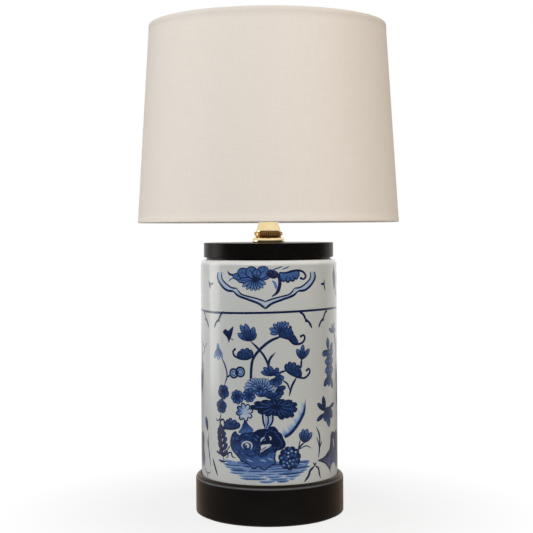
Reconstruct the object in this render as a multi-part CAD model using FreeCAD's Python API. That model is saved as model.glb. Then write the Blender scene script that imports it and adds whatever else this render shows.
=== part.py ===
import FreeCAD, Part
import math
import os

# Vase table lamp, in millimetres. The origin is the centre of the felt's underside and Z is up.
# The front is -Y, where the switch knob points. The cord leaves the base at the back, towards +Y.

# Fits between pieces
ROD_CLEAR = 0.3
THREAD_CLEAR = 0.1
RUNNING_CLEAR = 0.1
GLUE_GAP = 0.1

# Threaded rod that clamps the stack, with its nuts and washer
ROD_RADIUS = 5.0
ROD_BORE = 3.3
ROD_TAIL = 2.0
NUT_FLATS = 16.0
NUT_CHAMFER = 0.8
BOTTOM_NUT_HEIGHT = 5.0
TOP_NUT_HEIGHT = 4.0
WASHER_RADIUS = 16.0
WASHER_THICK = 1.6

# Felt and wooden base
FELT_THICK = 1.5
FELT_INSET = 4.0
BASE_HEIGHT = 40.5
BASE_LIP = 0.1
BASE_SHOULDER_ROUND = 5.0
BASE_SHOULDER_SLOPE = 1.5
BASE_FOOT_ROUND = 1.5
SEAT_DEPTH = 4.0
SEAT_CLEAR = 1.0
WELL_RADIUS = 35.0
WELL_DEPTH = 24.0

# Bushing for the cord at the back of the base
CORD_HOLE_HEIGHT = 10.5
CORD_BORE = 3.5
BUSHING_WALL = 1.4
BUSHING_FLANGE = 3.0
BUSHING_FLANGE_THICK = 1.4
BUSHING_LENGTH = 14.0
BUSHING_ROUND = 0.5

# Porcelain vase
VASE_RADIUS = 73.0
VASE_HEIGHT = 232.6
VASE_WALL = 6.0
VASE_FLOOR = 7.0
VASE_SHOULDER_ROUND = 5.0
VASE_FOOT_WIDTH = 7.0
VASE_FOOT_RECESS = 2.0
VASE_FOOT_ROUND = 1.0
VASE_INNER_ROUND = 4.0
VASE_LIP_WIDTH = 17.0
VASE_LIP_THICK = 7.0
VASE_HOLE_CLEAR = 2.0

# Wooden cap
CAP_LEDGE = 10.5
CAP_NECK_HEIGHT = 2.1
CAP_OVERHANG = 3.0
CAP_RIM_HEIGHT = 15.5
CAP_EDGE_ROUND = 0.8
SPIGOT_DEPTH = 6.0
SPIGOT_CLEAR = 0.6

# Brass rings and neck
CHECK_RADIUS = 17.25
CHECK_HEIGHT = 5.6
CHECK_ROUND = 3.4
CHECK_FOOT_ROUND = 1.2
KNURL_RADIUS = 15.15
KNURL_TOOTH = 0.6
KNURL_TEETH = 40
KNURL_BAND_HEIGHT = 3.7
KNURL_FOOT_HEIGHT = 2.0
KNURL_FOOT_INSET = 1.6
KNURL_CHAMFER = 0.5
NECK_BEAD_RADIUS = 13.6
NECK_BEAD_HEIGHT = 1.9
NECK_FOOT_RADIUS = 12.9
NECK_TOP_RADIUS = 7.2
NECK_HEIGHT = 21.2
NECK_EDGE_ROUND = 0.6

# Harp and the saddle that holds it
LEG_SPREAD = 26.8
WIRE_RADIUS = 2.0
SADDLE_WIDTH = 12.0
SADDLE_THICK = 1.6
SADDLE_BEND = 6.0
SADDLE_ARM = 11.3
TONGUE_HEIGHT = 11.0
LAP_GAP = 0.3
LEG_STRAIGHT = 18.0
FLARE_RADIUS = 24.0
FLARE_DEGREES = 45.0
BOW_RADIUS = 75.0
CROWN_RADIUS = 30.75
PAD_LENGTH = 24.0
PAD_WIDTH = 11.0
PAD_THICK = 3.0
PAD_LAP = 2.0
PAD_CORNER = 2.0
SLEEVE_CLEAR = 0.4
SLEEVE_WALL = 1.8
SLEEVE_LENGTH = 14.0
SLEEVE_ROUND = 0.8

# Swivel stud and finial
STUD_RADIUS = 3.175
STUD_ABOVE_WASHER = 8.5
STUD_TAIL_RADIUS = 2.5
STUD_FLANGE_RADIUS = 7.0
STUD_FLANGE_THICK = 1.6
RIVET_RADIUS = 4.2
RIVET_THICK = 1.2
RIVET_GAP = 0.15
FINIAL_BORE_SPARE = 1.0
COLLAR_HEIGHT = 11.0
COLLAR_RADIUS = 7.2
COLLAR_WAIST = 2.0
COLLAR_FLANGE = 2.2
COLLAR_ROUND = 0.5
DOWEL_RADIUS = 2.5
DOWEL_HEIGHT = 4.0
BALL_RADIUS = 10.5
BALL_SEAT_RADIUS = 5.5
BALL_REEDS = 12
REED_RADIUS = 0.9
REED_LATITUDE = 50.0
BUTTON_RADIUS = 2.6
BUTTON_HEIGHT = 1.4

# Shade
SHADE_TOP_RADIUS = 127.0
SHADE_BOTTOM_RADIUS = 139.7
SHADE_HEIGHT = 211.1
SHADE_DROP = 21.7
FABRIC_THICK = 0.6
LINER_THICK = 0.8
LINER_END_GAP = 0.15
HEM_FLAP = 10.0
SHADE_WIRE = 1.5
HOOP_CLEAR = 0.4
SPIDER_HUB_RADIUS = 12.0
SPIDER_HUB_THICK = 2.0
SPIDER_HUB_CLEAR = 0.8
SPIDER_ARM_START = 9.0
SPIDER_ARM_REACH = 24.0
SPIDER_BEND = 12.0
SPIDER_ARMS = 3
SPIDER_FIRST_ARM_DEGREES = 90.0
NOTCH_CLEAR = 0.3

# Lamp socket
SHEET = 0.7
SHEET_FIT = 0.15
HUB_RADIUS = 8.0
HUB_HEIGHT = 7.0
SOCKET_CAP_HEIGHT = 18.0
SOCKET_CAP_ROUND = 6.0
SOCKET_LAP = 6.0
SOCKET_SHELL_HEIGHT = 44.0
FIBRE_THICK = 0.7
FIBRE_FIT = 0.2
SOCKET_AIR = 0.75
BOSS_RADIUS = 9.0
BOSS_HEIGHT = 6.0
BODY_HEIGHT = 13.0
WIRE_WAY_RADIUS = 3.0
WIRE_WAY_DEPTH = 4.0
SCREW_SHELL_HEIGHT = 26.0
SCREW_SHELL_WALL = 0.4
SCREW_PLAY = 0.35
SCREW_SHELL_HOLE = 6.0
LEAF_HALF_LENGTH = 4.5
LEAF_WIDTH = 4.0
LEAF_THICK = 0.5
LEAF_RISE = 3.5
TERMINAL_HEAD_RADIUS = 2.8
TERMINAL_HEAD_THICK = 2.0
TERMINAL_SHANK_RADIUS = 1.5
TERMINAL_SHANK_LENGTH = 4.5
TERMINAL_POCKET_CLEAR = 0.6
SET_SCREW_RADIUS = 1.6
SET_SCREW_PROUD = 1.5

# Turn switch
SWITCH_RISE = 6.5
STEM_RADIUS = 1.6
STEM_INSIDE = 6.0
STEM_CLEAR = 0.4
KNOB_GAP = 3.0
KNOB_RADIUS = 6.5
KNOB_LENGTH = 11.0
KNOB_RIBS = 16
KNOB_RIB_DEPTH = 0.5
KNOB_BORE_DEPTH = 7.0
KNOB_ROUND = 1.2

# Bulb
BULB_BASE_RADIUS = 13.0
BULB_SCREW_HEIGHT = 19.2
BULB_SCREW_WALL = 0.5
BULB_SCREW_ROUND = 1.5
BULB_LENGTH = 108.0
BULB_RADIUS = 30.0
BULB_NECK_STEP = 1.0
BULB_WALL = 1.2
BULB_CONTACT_RADIUS = 4.5
BULB_CONTACT_HEIGHT = 2.0
BULB_CONTACT_ROUND = 1.0
BULB_CONTACT_GAP = 0.3
INSULATOR_HEIGHT = 4.0
INSULATOR_SPREAD = 7.0

# Heights of the stack, from the table up
BASE_BOTTOM_Z = FELT_THICK
WELL_TOP_Z = BASE_BOTTOM_Z + WELL_DEPTH
BASE_TOP_Z = BASE_BOTTOM_Z + BASE_HEIGHT
VASE_Z = BASE_TOP_Z - SEAT_DEPTH
VASE_TOP_Z = VASE_Z + VASE_HEIGHT
CAP_RIM_Z = VASE_TOP_Z + CAP_NECK_HEIGHT
CHECK_Z = CAP_RIM_Z + CAP_RIM_HEIGHT
KNURL_Z = CHECK_Z + CHECK_HEIGHT
NECK_Z = KNURL_Z + KNURL_FOOT_HEIGHT + KNURL_BAND_HEIGHT
SADDLE_Z = NECK_Z + NECK_HEIGHT
SADDLE_TOP_Z = SADDLE_Z + SADDLE_THICK
SOCKET_Z = SADDLE_TOP_Z + TOP_NUT_HEIGHT
WASHER_Z = WELL_TOP_Z - WASHER_THICK
BOTTOM_NUT_Z = WASHER_Z - BOTTOM_NUT_HEIGHT
CORD_Z = BASE_BOTTOM_Z + CORD_HOLE_HEIGHT

# Radii that follow from the fits
SEAT_RADIUS = VASE_RADIUS + SEAT_CLEAR
BASE_RADIUS = SEAT_RADIUS + BASE_LIP + BASE_SHOULDER_ROUND
MOUTH_RADIUS = VASE_RADIUS - VASE_LIP_WIDTH
CAP_NECK_RADIUS = MOUTH_RADIUS + CAP_LEDGE
CAP_RADIUS = CAP_NECK_RADIUS + CAP_OVERHANG
ROD_HOLE = ROD_RADIUS + ROD_CLEAR
CORD_HOLE = CORD_BORE + BUSHING_WALL + RUNNING_CLEAR
FLANGE_RADIUS = CORD_BORE + BUSHING_WALL + BUSHING_FLANGE
SPOT_FACE_RADIUS = FLANGE_RADIUS + RUNNING_CLEAR
SPOT_FACE_Y = math.sqrt(BASE_RADIUS**2 - SPOT_FACE_RADIUS**2) - BUSHING_FLANGE_THICK
SLEEVE_BORE = WIRE_RADIUS + SLEEVE_CLEAR
SCREW_SHELL_INSIDE = BULB_BASE_RADIUS + SCREW_PLAY
SCREW_SHELL_OUTSIDE = SCREW_SHELL_INSIDE + SCREW_SHELL_WALL
FIBRE_INSIDE = SCREW_SHELL_OUTSIDE + SOCKET_AIR
SHELL_INSIDE = FIBRE_INSIDE + FIBRE_THICK + SHEET_FIT
SHELL_RADIUS = SHELL_INSIDE + SHEET
SOCKET_CAP_INSIDE = SHELL_RADIUS + SHEET_FIT
SOCKET_CAP_RADIUS = SOCKET_CAP_INSIDE + SHEET

# Heights inside the socket
SOCKET_FLOOR_Z = SOCKET_Z + HUB_HEIGHT + SHEET
FIBRE_Z = SOCKET_FLOOR_Z + FIBRE_FIT
BOSS_Z = FIBRE_Z + FIBRE_THICK
BODY_Z = BOSS_Z + BOSS_HEIGHT
BODY_TOP_Z = BODY_Z + BODY_HEIGHT
SHELL_Z = SOCKET_Z + SOCKET_CAP_HEIGHT - SOCKET_LAP
SHELL_TOP_Z = SHELL_Z + SOCKET_SHELL_HEIGHT
SWITCH_Z = BODY_Z + SWITCH_RISE
BULB_Z = BODY_TOP_Z + LEAF_RISE + BULB_CONTACT_GAP
INSULATOR_Z = BULB_Z + BULB_CONTACT_HEIGHT
BULB_SCREW_Z = INSULATOR_Z + INSULATOR_HEIGHT
HOUSING_Z = BULB_SCREW_Z + BULB_SCREW_HEIGHT
BULB_CENTRE_Z = BULB_Z + BULB_LENGTH - BULB_RADIUS

# Harp: straight leg, flare outwards, long bow inwards and a tight crown that ends level on the pad
LEG_Z = SADDLE_Z + SADDLE_ARM
TONGUE_TOP_Z = LEG_Z + TONGUE_HEIGHT
LEG_TOP_Z = TONGUE_TOP_Z + LEG_STRAIGHT
FLARE = math.radians(FLARE_DEGREES)
FLARE_END_X = LEG_SPREAD + FLARE_RADIUS * (1 - math.cos(FLARE))
FLARE_END_Z = LEG_TOP_Z + FLARE_RADIUS * math.sin(FLARE)
BOW_X = FLARE_END_X - BOW_RADIUS * math.cos(FLARE)
BOW_Z = FLARE_END_Z + BOW_RADIUS * math.sin(FLARE)
CROWN_X = PAD_LENGTH / 2 - PAD_LAP
CROWN_Z = BOW_Z + math.sqrt((BOW_RADIUS - CROWN_RADIUS) ** 2 - (CROWN_X - BOW_X) ** 2)
HARP_TOP_Z = CROWN_Z + CROWN_RADIUS
PAD_Z = HARP_TOP_Z - PAD_THICK / 2
PAD_TOP_Z = HARP_TOP_Z + PAD_THICK / 2

# Stud, spider and finial
SPIDER_Z = PAD_TOP_Z + STUD_FLANGE_THICK
FINIAL_Z = SPIDER_Z + SPIDER_HUB_THICK
STUD_TOP_Z = FINIAL_Z + STUD_ABOVE_WASHER
FINIAL_BORE_TOP_Z = STUD_TOP_Z + FINIAL_BORE_SPARE
COLLAR_TOP_Z = FINIAL_Z + COLLAR_HEIGHT
BALL_Z = COLLAR_TOP_Z + math.sqrt(BALL_RADIUS**2 - BALL_SEAT_RADIUS**2)
SPIDER_MID_Z = SPIDER_Z + SPIDER_HUB_THICK / 2

# Shade wall, measured along its slant (up) and across it (inwards)
SHADE_TOP_Z = SPIDER_MID_Z + SHADE_DROP
SHADE_Z = SHADE_TOP_Z - SHADE_HEIGHT
SLANT = math.hypot(SHADE_BOTTOM_RADIUS - SHADE_TOP_RADIUS, SHADE_HEIGHT)
SLANT_R = (SHADE_TOP_RADIUS - SHADE_BOTTOM_RADIUS) / SLANT
SLANT_Z = SHADE_HEIGHT / SLANT
HEM_OFFSET = FABRIC_THICK + HOOP_CLEAR + SHADE_WIRE
HEM_WIDTH = 2 * HEM_OFFSET
LINER_N = FABRIC_THICK + GLUE_GAP
LINER_INNER_N = LINER_N + LINER_THICK
LINER_END = HEM_OFFSET + SHADE_WIRE + LINER_END_GAP

AXIS_Z = FreeCAD.Vector(0, 0, 1)
ORIGIN = FreeCAD.Vector(0, 0, 0)
TINY = 1e-7


def rounded_corner(before, corner, after, radius):
    """Start, middle and end of the arc that rounds one corner of an outline."""
    back = (before - corner).normalize()
    onward = (after - corner).normalize()
    half = back.getAngle(onward) / 2
    reach = radius / math.tan(half)
    inward = (back + onward).normalize()
    middle = corner + inward * (radius / math.sin(half) - radius)
    return corner + back * reach, middle, corner + onward * reach


def outline(corners):
    """Closed wire in the XZ plane. A corner is (x, z), or (x, z, radius) where it is rounded."""
    points = [FreeCAD.Vector(corner[0], 0, corner[1]) for corner in corners]
    turns = []
    for i, corner in enumerate(corners):
        if len(corner) == 3:
            after = points[(i + 1) % len(points)]
            turns.append(rounded_corner(points[i - 1], points[i], after, corner[2]))
        else:
            turns.append((points[i], None, points[i]))
    edges = []
    for i, (start, middle, end) in enumerate(turns):
        if middle is not None:
            edges.append(Part.Arc(start, middle, end).toShape())
        onward = turns[(i + 1) % len(turns)][0]
        if end.distanceToPoint(onward) > TINY:
            edges.append(Part.makeLine(end, onward))
    return Part.Wire(edges)


def outward(solid):
    """The same solid with its faces pointing outwards."""
    if solid.Volume < 0:
        solid.reverse()
    return solid


def turned(corners):
    """Solid of revolution about Z from corners given as (radius, z)."""
    return outward(Part.Face(outline(corners)).revolve(ORIGIN, AXIS_Z, 360))


def strip(corners, width):
    """Sheet part: an XZ outline with the given width across Y, centred on Y = 0."""
    solid = Part.Face(outline(corners)).extrude(FreeCAD.Vector(0, width, 0))
    solid.translate(FreeCAD.Vector(0, -width / 2, 0))
    return outward(solid)


def cylinder(radius, start, direction, length):
    """Cylinder from a start point along a direction."""
    return Part.makeCylinder(radius, length, FreeCAD.Vector(*start), FreeCAD.Vector(*direction))


def prism(points, z, height):
    """Upright prism on a polygon given as (x, y)."""
    ring = [FreeCAD.Vector(x, y, z) for x, y in points]
    return Part.Face(Part.makePolygon(ring + ring[:1])).extrude(FreeCAD.Vector(0, 0, height))


def spokes(count, radius, first=0.0):
    """Points (x, y) spaced evenly on a circle."""
    step = 2 * math.pi / count
    angles = [first + i * step for i in range(count)]
    return [(radius * math.cos(a), radius * math.sin(a)) for a in angles]


def star(count, tip, root):
    """Points of a toothed ring, tips and roots in turn."""
    half_tooth = math.pi / count
    pairs = zip(spokes(count, tip), spokes(count, root, half_tooth))
    return [point for pair in pairs for point in pair]


def tube_along(edges, radius):
    """Round wire along a path that starts straight up or level from its first point."""
    path = Part.Wire(edges)
    start = path.OrderedVertexes[0].Point
    tangent = edges[0].tangentAt(edges[0].FirstParameter)
    section = Part.Wire(Part.makeCircle(radius, start, tangent))
    return outward(path.makePipeShell([section], True, False))


def hex_nut(z, height):
    """Hex nut on the rod, chamfered at both ends."""
    corner = NUT_FLATS / math.sqrt(3)
    blank = prism(spokes(6, corner), z, height)
    bore = ROD_RADIUS + THREAD_CLEAR
    envelope = turned([
        (bore, z),
        (corner - NUT_CHAMFER, z),
        (corner, z + NUT_CHAMFER),
        (corner, z + height - NUT_CHAMFER),
        (corner - NUT_CHAMFER, z + height),
        (bore, z + height),
    ])
    return blank.common(envelope)


def make_felt():
    """Felt disc that the lamp stands on."""
    radius = BASE_RADIUS - FELT_INSET
    return Part.makeCylinder(radius, FELT_THICK)


def make_plinth():
    """Turned base with the vase's seat above, a well for the nut below and the cord's hole."""
    body = turned([
        (ROD_HOLE, WELL_TOP_Z),
        (WELL_RADIUS, WELL_TOP_Z),
        (WELL_RADIUS, BASE_BOTTOM_Z),
        (BASE_RADIUS, BASE_BOTTOM_Z, BASE_FOOT_ROUND),
        (BASE_RADIUS, BASE_TOP_Z - BASE_SHOULDER_SLOPE, BASE_SHOULDER_ROUND),
        (SEAT_RADIUS + BASE_LIP, BASE_TOP_Z),
        (SEAT_RADIUS, BASE_TOP_Z),
        (SEAT_RADIUS, VASE_Z),
        (ROD_HOLE, VASE_Z),
    ])
    hole = cylinder(CORD_HOLE, (0, 0, CORD_Z), (0, 1, 0), BASE_RADIUS)
    spot_face = cylinder(SPOT_FACE_RADIUS, (0, SPOT_FACE_Y, CORD_Z), (0, 1, 0), BASE_RADIUS)
    return body.cut(hole).cut(spot_face)


def make_bushing():
    """Flanged plastic bushing that lines the cord's hole."""
    sleeve = CORD_BORE + BUSHING_WALL
    bushing = turned([
        (CORD_BORE, -BUSHING_LENGTH),
        (sleeve, -BUSHING_LENGTH),
        (sleeve, 0),
        (FLANGE_RADIUS, 0),
        (FLANGE_RADIUS, BUSHING_FLANGE_THICK, BUSHING_ROUND),
        (CORD_BORE, BUSHING_FLANGE_THICK),
    ])
    bushing.rotate(ORIGIN, FreeCAD.Vector(1, 0, 0), -90)
    bushing.translate(FreeCAD.Vector(0, SPOT_FACE_Y, CORD_Z))
    return bushing


def make_rod():
    """Hollow threaded rod from under the bottom nut to inside the socket's hub."""
    bottom = BOTTOM_NUT_Z - ROD_TAIL
    top = SOCKET_Z + HUB_HEIGHT
    return turned([(ROD_BORE, bottom), (ROD_RADIUS, bottom), (ROD_RADIUS, top), (ROD_BORE, top)])


def make_washer():
    """Flat washer under the well's roof."""
    return turned([
        (ROD_HOLE, WASHER_Z),
        (WASHER_RADIUS, WASHER_Z),
        (WASHER_RADIUS, WELL_TOP_Z),
        (ROD_HOLE, WELL_TOP_Z),
    ])


def make_vase():
    """Hollow porcelain cylinder with a foot ring, a rounded shoulder and an open mouth."""
    hole = ROD_RADIUS + VASE_HOLE_CLEAR
    inside = VASE_RADIUS - VASE_WALL
    foot = VASE_RADIUS - VASE_FOOT_WIDTH
    recess_z = VASE_Z + VASE_FOOT_RECESS
    floor_z = recess_z + VASE_FLOOR
    lip_z = VASE_TOP_Z - VASE_LIP_THICK
    return turned([
        (hole, recess_z),
        (foot, recess_z),
        (foot, VASE_Z),
        (VASE_RADIUS, VASE_Z, VASE_FOOT_ROUND),
        (VASE_RADIUS, VASE_TOP_Z, VASE_SHOULDER_ROUND),
        (MOUTH_RADIUS, VASE_TOP_Z),
        (MOUTH_RADIUS, lip_z),
        (inside, lip_z, VASE_INNER_ROUND),
        (inside, floor_z, VASE_INNER_ROUND),
        (hole, floor_z),
    ])


def make_cap():
    """Turned cap: spigot in the vase's mouth, a narrow neck and an overhanging rim."""
    spigot = MOUTH_RADIUS - SPIGOT_CLEAR
    return turned([
        (ROD_HOLE, VASE_TOP_Z - SPIGOT_DEPTH),
        (spigot, VASE_TOP_Z - SPIGOT_DEPTH),
        (spigot, VASE_TOP_Z),
        (CAP_NECK_RADIUS, VASE_TOP_Z),
        (CAP_NECK_RADIUS, CAP_RIM_Z),
        (CAP_RADIUS, CAP_RIM_Z, CAP_EDGE_ROUND),
        (CAP_RADIUS, CHECK_Z, CAP_EDGE_ROUND),
        (ROD_HOLE, CHECK_Z),
    ])


def make_check_ring():
    """Low brass ring with a quarter-round shoulder, on the cap."""
    return turned([
        (ROD_HOLE, CHECK_Z),
        (CHECK_RADIUS, CHECK_Z, CHECK_FOOT_ROUND),
        (CHECK_RADIUS, KNURL_Z, CHECK_ROUND),
        (ROD_HOLE, KNURL_Z),
    ])


def make_knurled_ring():
    """Brass ring with a toothed band over a plain foot."""
    foot = KNURL_RADIUS - KNURL_FOOT_INSET
    band_z = KNURL_Z + KNURL_FOOT_HEIGHT
    teeth = prism(star(KNURL_TEETH, KNURL_RADIUS, KNURL_RADIUS - KNURL_TOOTH), KNURL_Z, NECK_Z - KNURL_Z)
    envelope = turned([
        (ROD_HOLE, KNURL_Z),
        (foot, KNURL_Z),
        (foot, band_z),
        (KNURL_RADIUS, band_z),
        (KNURL_RADIUS, NECK_Z - KNURL_CHAMFER),
        (KNURL_RADIUS - KNURL_CHAMFER, NECK_Z),
        (ROD_HOLE, NECK_Z),
    ])
    return teeth.common(envelope)


def make_neck():
    """Tapered brass neck over a bead, between the rings and the harp's saddle."""
    bead_top = NECK_Z + NECK_BEAD_HEIGHT
    return turned([
        (ROD_HOLE, NECK_Z),
        (NECK_BEAD_RADIUS, NECK_Z, NECK_EDGE_ROUND),
        (NECK_BEAD_RADIUS, bead_top, NECK_EDGE_ROUND),
        (NECK_FOOT_RADIUS, bead_top),
        (NECK_TOP_RADIUS, SADDLE_Z, NECK_EDGE_ROUND),
        (ROD_HOLE, SADDLE_Z),
    ])


def make_saddle():
    """Bent strip clamped on the rod, with a narrow tongue on each arm for the harp's legs."""
    inner = LEG_SPREAD - SADDLE_THICK
    outer_bend = SADDLE_BEND + SADDLE_THICK
    bracket = strip([
        (-LEG_SPREAD, LEG_Z),
        (-LEG_SPREAD, SADDLE_Z, outer_bend),
        (LEG_SPREAD, SADDLE_Z, outer_bend),
        (LEG_SPREAD, LEG_Z),
        (inner, LEG_Z),
        (inner, SADDLE_TOP_Z, SADDLE_BEND),
        (-inner, SADDLE_TOP_Z, SADDLE_BEND),
        (-inner, LEG_Z),
    ], SADDLE_WIDTH)
    tongue_reach = SLEEVE_BORE - RUNNING_CLEAR
    tongue_width = 2 * math.sqrt(tongue_reach**2 - SADDLE_THICK**2)
    for x in (inner, -LEG_SPREAD):
        corner = FreeCAD.Vector(x, -tongue_width / 2, LEG_Z)
        bracket = bracket.fuse(Part.makeBox(SADDLE_THICK, tongue_width, TONGUE_HEIGHT, corner))
    return bracket.removeSplitter().cut(cylinder(ROD_HOLE, (0, 0, SADDLE_Z), (0, 0, 1), SADDLE_THICK))


def harp_half():
    """Right half of the harp's wire, from the leg's end to the pad."""
    leg_end = FreeCAD.Vector(LEG_SPREAD, 0, LEG_Z + LAP_GAP)
    leg_top = FreeCAD.Vector(LEG_SPREAD, 0, LEG_TOP_Z)
    flare_end = FreeCAD.Vector(FLARE_END_X, 0, FLARE_END_Z)
    crown_end = FreeCAD.Vector(CROWN_X, 0, HARP_TOP_Z)
    crown_heading = math.atan2(CROWN_Z - BOW_Z, CROWN_X - BOW_X)
    flare_middle = FreeCAD.Vector(
        LEG_SPREAD + FLARE_RADIUS * (1 - math.cos(FLARE / 2)),
        0,
        LEG_TOP_Z + FLARE_RADIUS * math.sin(FLARE / 2),
    )

    def on_arc(x, z, radius, heading):
        return FreeCAD.Vector(x + radius * math.cos(heading), 0, z + radius * math.sin(heading))

    crown_start = on_arc(BOW_X, BOW_Z, BOW_RADIUS, crown_heading)
    bow_middle = on_arc(BOW_X, BOW_Z, BOW_RADIUS, (crown_heading - FLARE) / 2)
    crown_middle = on_arc(CROWN_X, CROWN_Z, CROWN_RADIUS, (crown_heading + math.pi / 2) / 2)
    edges = [
        Part.makeLine(leg_end, leg_top),
        Part.Arc(leg_top, flare_middle, flare_end).toShape(),
        Part.Arc(flare_end, bow_middle, crown_start).toShape(),
        Part.Arc(crown_start, crown_middle, crown_end).toShape(),
    ]
    wire = tube_along(edges, WIRE_RADIUS)
    lap_corner = FreeCAD.Vector(LEG_SPREAD - 2 * WIRE_RADIUS, -WIRE_RADIUS, LEG_Z)
    lap = Part.makeBox(2 * WIRE_RADIUS + GLUE_GAP, 2 * WIRE_RADIUS, TONGUE_HEIGHT, lap_corner)
    return wire.cut(lap)


def make_harp():
    """Harp: two bowed wires joined by a flattened, drilled pad, with half-lapped leg ends."""
    right = harp_half()
    left = right.mirror(ORIGIN, FreeCAD.Vector(1, 0, 0))
    pad = prism([
        (-PAD_LENGTH / 2, -PAD_WIDTH / 2),
        (PAD_LENGTH / 2, -PAD_WIDTH / 2),
        (PAD_LENGTH / 2, PAD_WIDTH / 2),
        (-PAD_LENGTH / 2, PAD_WIDTH / 2),
    ], PAD_Z, PAD_THICK)
    upright = [edge for edge in pad.Edges if abs(edge.tangentAt(edge.FirstParameter).z) > 1 - TINY]
    pad = pad.makeFillet(PAD_CORNER, upright)
    hole = cylinder(STUD_TAIL_RADIUS + RUNNING_CLEAR, (0, 0, PAD_Z), (0, 0, 1), PAD_THICK)
    return pad.fuse([right, left]).removeSplitter().cut(hole)


def make_sleeve(side):
    """Locking sleeve on one leg of the harp, resting on the saddle's shoulder."""
    outside = SLEEVE_BORE + SLEEVE_WALL
    sleeve = turned([
        (SLEEVE_BORE, LEG_Z),
        (outside, LEG_Z, SLEEVE_ROUND),
        (outside, LEG_Z + SLEEVE_LENGTH, SLEEVE_ROUND),
        (SLEEVE_BORE, LEG_Z + SLEEVE_LENGTH),
    ])
    sleeve.translate(FreeCAD.Vector(side * LEG_SPREAD, 0, 0))
    return sleeve


def make_stud():
    """Stud that swivels in the harp's pad: rivet head, tail, flange and threaded shank."""
    rivet_top = PAD_Z - RIVET_GAP
    return turned([
        (0, rivet_top - RIVET_THICK),
        (RIVET_RADIUS, rivet_top - RIVET_THICK),
        (RIVET_RADIUS, rivet_top),
        (STUD_TAIL_RADIUS, rivet_top),
        (STUD_TAIL_RADIUS, PAD_TOP_Z),
        (STUD_FLANGE_RADIUS, PAD_TOP_Z),
        (STUD_FLANGE_RADIUS, SPIDER_Z),
        (STUD_RADIUS, SPIDER_Z),
        (STUD_RADIUS, STUD_TOP_Z),
        (0, STUD_TOP_Z),
    ])


def make_collar():
    """Threaded collar of the finial, with a dowel for the ball."""
    bore = STUD_RADIUS + THREAD_CLEAR
    waist = COLLAR_RADIUS - COLLAR_WAIST
    return turned([
        (bore, FINIAL_Z),
        (COLLAR_RADIUS, FINIAL_Z),
        (COLLAR_RADIUS, FINIAL_Z + COLLAR_FLANGE, COLLAR_ROUND),
        (waist, FINIAL_Z + COLLAR_FLANGE + COLLAR_WAIST, COLLAR_ROUND),
        (waist, COLLAR_TOP_Z - COLLAR_FLANGE - COLLAR_WAIST, COLLAR_ROUND),
        (COLLAR_RADIUS, COLLAR_TOP_Z - COLLAR_FLANGE, COLLAR_ROUND),
        (COLLAR_RADIUS, COLLAR_TOP_Z),
        (DOWEL_RADIUS, COLLAR_TOP_Z),
        (DOWEL_RADIUS, COLLAR_TOP_Z + DOWEL_HEIGHT),
        (0, COLLAR_TOP_Z + DOWEL_HEIGHT),
        (0, FINIAL_BORE_TOP_Z),
        (bore, FINIAL_BORE_TOP_Z),
    ])


def make_ball():
    """Reeded ball of the finial with a button on top, drilled for the collar's dowel."""
    centre = FreeCAD.Vector(0, 0, BALL_Z)
    seat_latitude = -math.degrees(math.acos(BALL_SEAT_RADIUS / BALL_RADIUS))
    ball = Part.makeSphere(BALL_RADIUS, centre, AXIS_Z, seat_latitude, 90)
    for x, y in spokes(BALL_REEDS, 1.0):
        groove = Part.makeTorus(BALL_RADIUS, REED_RADIUS, ORIGIN, AXIS_Z, -180, 180, 2 * REED_LATITUDE)
        groove.rotate(ORIGIN, AXIS_Z, -REED_LATITUDE)
        groove.rotate(ORIGIN, FreeCAD.Vector(1, 0, 0), 90)
        groove.rotate(ORIGIN, AXIS_Z, math.degrees(math.atan2(y, x)))
        groove.translate(centre)
        ball = ball.cut(groove)
    button_z = BALL_Z + math.sqrt(BALL_RADIUS**2 - BUTTON_RADIUS**2)
    ball = ball.fuse(cylinder(BUTTON_RADIUS, (0, 0, button_z), (0, 0, 1), BUTTON_HEIGHT))
    hole = cylinder(
        DOWEL_RADIUS + RUNNING_CLEAR, (0, 0, COLLAR_TOP_Z), (0, 0, 1), DOWEL_HEIGHT + RUNNING_CLEAR
    )
    return ball.cut(hole)


def shade_point(along, inward):
    """Radius and height of a point given along the shade's slant and inwards from its face."""
    radius = SHADE_BOTTOM_RADIUS + along * SLANT_R - inward * SLANT_Z
    height = SHADE_Z + along * SLANT_Z + inward * SLANT_R
    return radius, height


def shade_section(corners):
    """Turned shade wall from corners (along, inward) or (along, inward, radius)."""
    return turned([shade_point(*corner[:2]) + tuple(corner[2:]) for corner in corners])


def shade_hoop(along, wire):
    """Round hoop of the given wire radius inside one hem."""
    radius, height = shade_point(along, HEM_OFFSET)
    return Part.makeTorus(radius, wire, FreeCAD.Vector(0, 0, height))


def spider_arm(radius):
    """One arm along +X: level from the hub, then bent up to the top ring."""
    ring_r, ring_z = shade_point(SLANT - HEM_OFFSET, HEM_OFFSET)
    start = FreeCAD.Vector(SPIDER_ARM_START, 0, SPIDER_MID_Z)
    knee = FreeCAD.Vector(ring_r - SPIDER_ARM_REACH, 0, SPIDER_MID_Z)
    end = FreeCAD.Vector(ring_r, 0, ring_z)
    bend = rounded_corner(start, knee, end, SPIDER_BEND)
    edges = [
        Part.makeLine(start, bend[0]),
        Part.Arc(*bend).toShape(),
        Part.makeLine(bend[2], end),
    ]
    return tube_along(edges, radius)


def spider_arms(radius):
    """All arms of the spider, or their clearance when the radius is larger."""
    arms = []
    for i in range(SPIDER_ARMS):
        arm = spider_arm(radius)
        arm.rotate(ORIGIN, AXIS_Z, SPIDER_FIRST_ARM_DEGREES + i * 360 / SPIDER_ARMS)
        arms.append(arm)
    return arms


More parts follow.
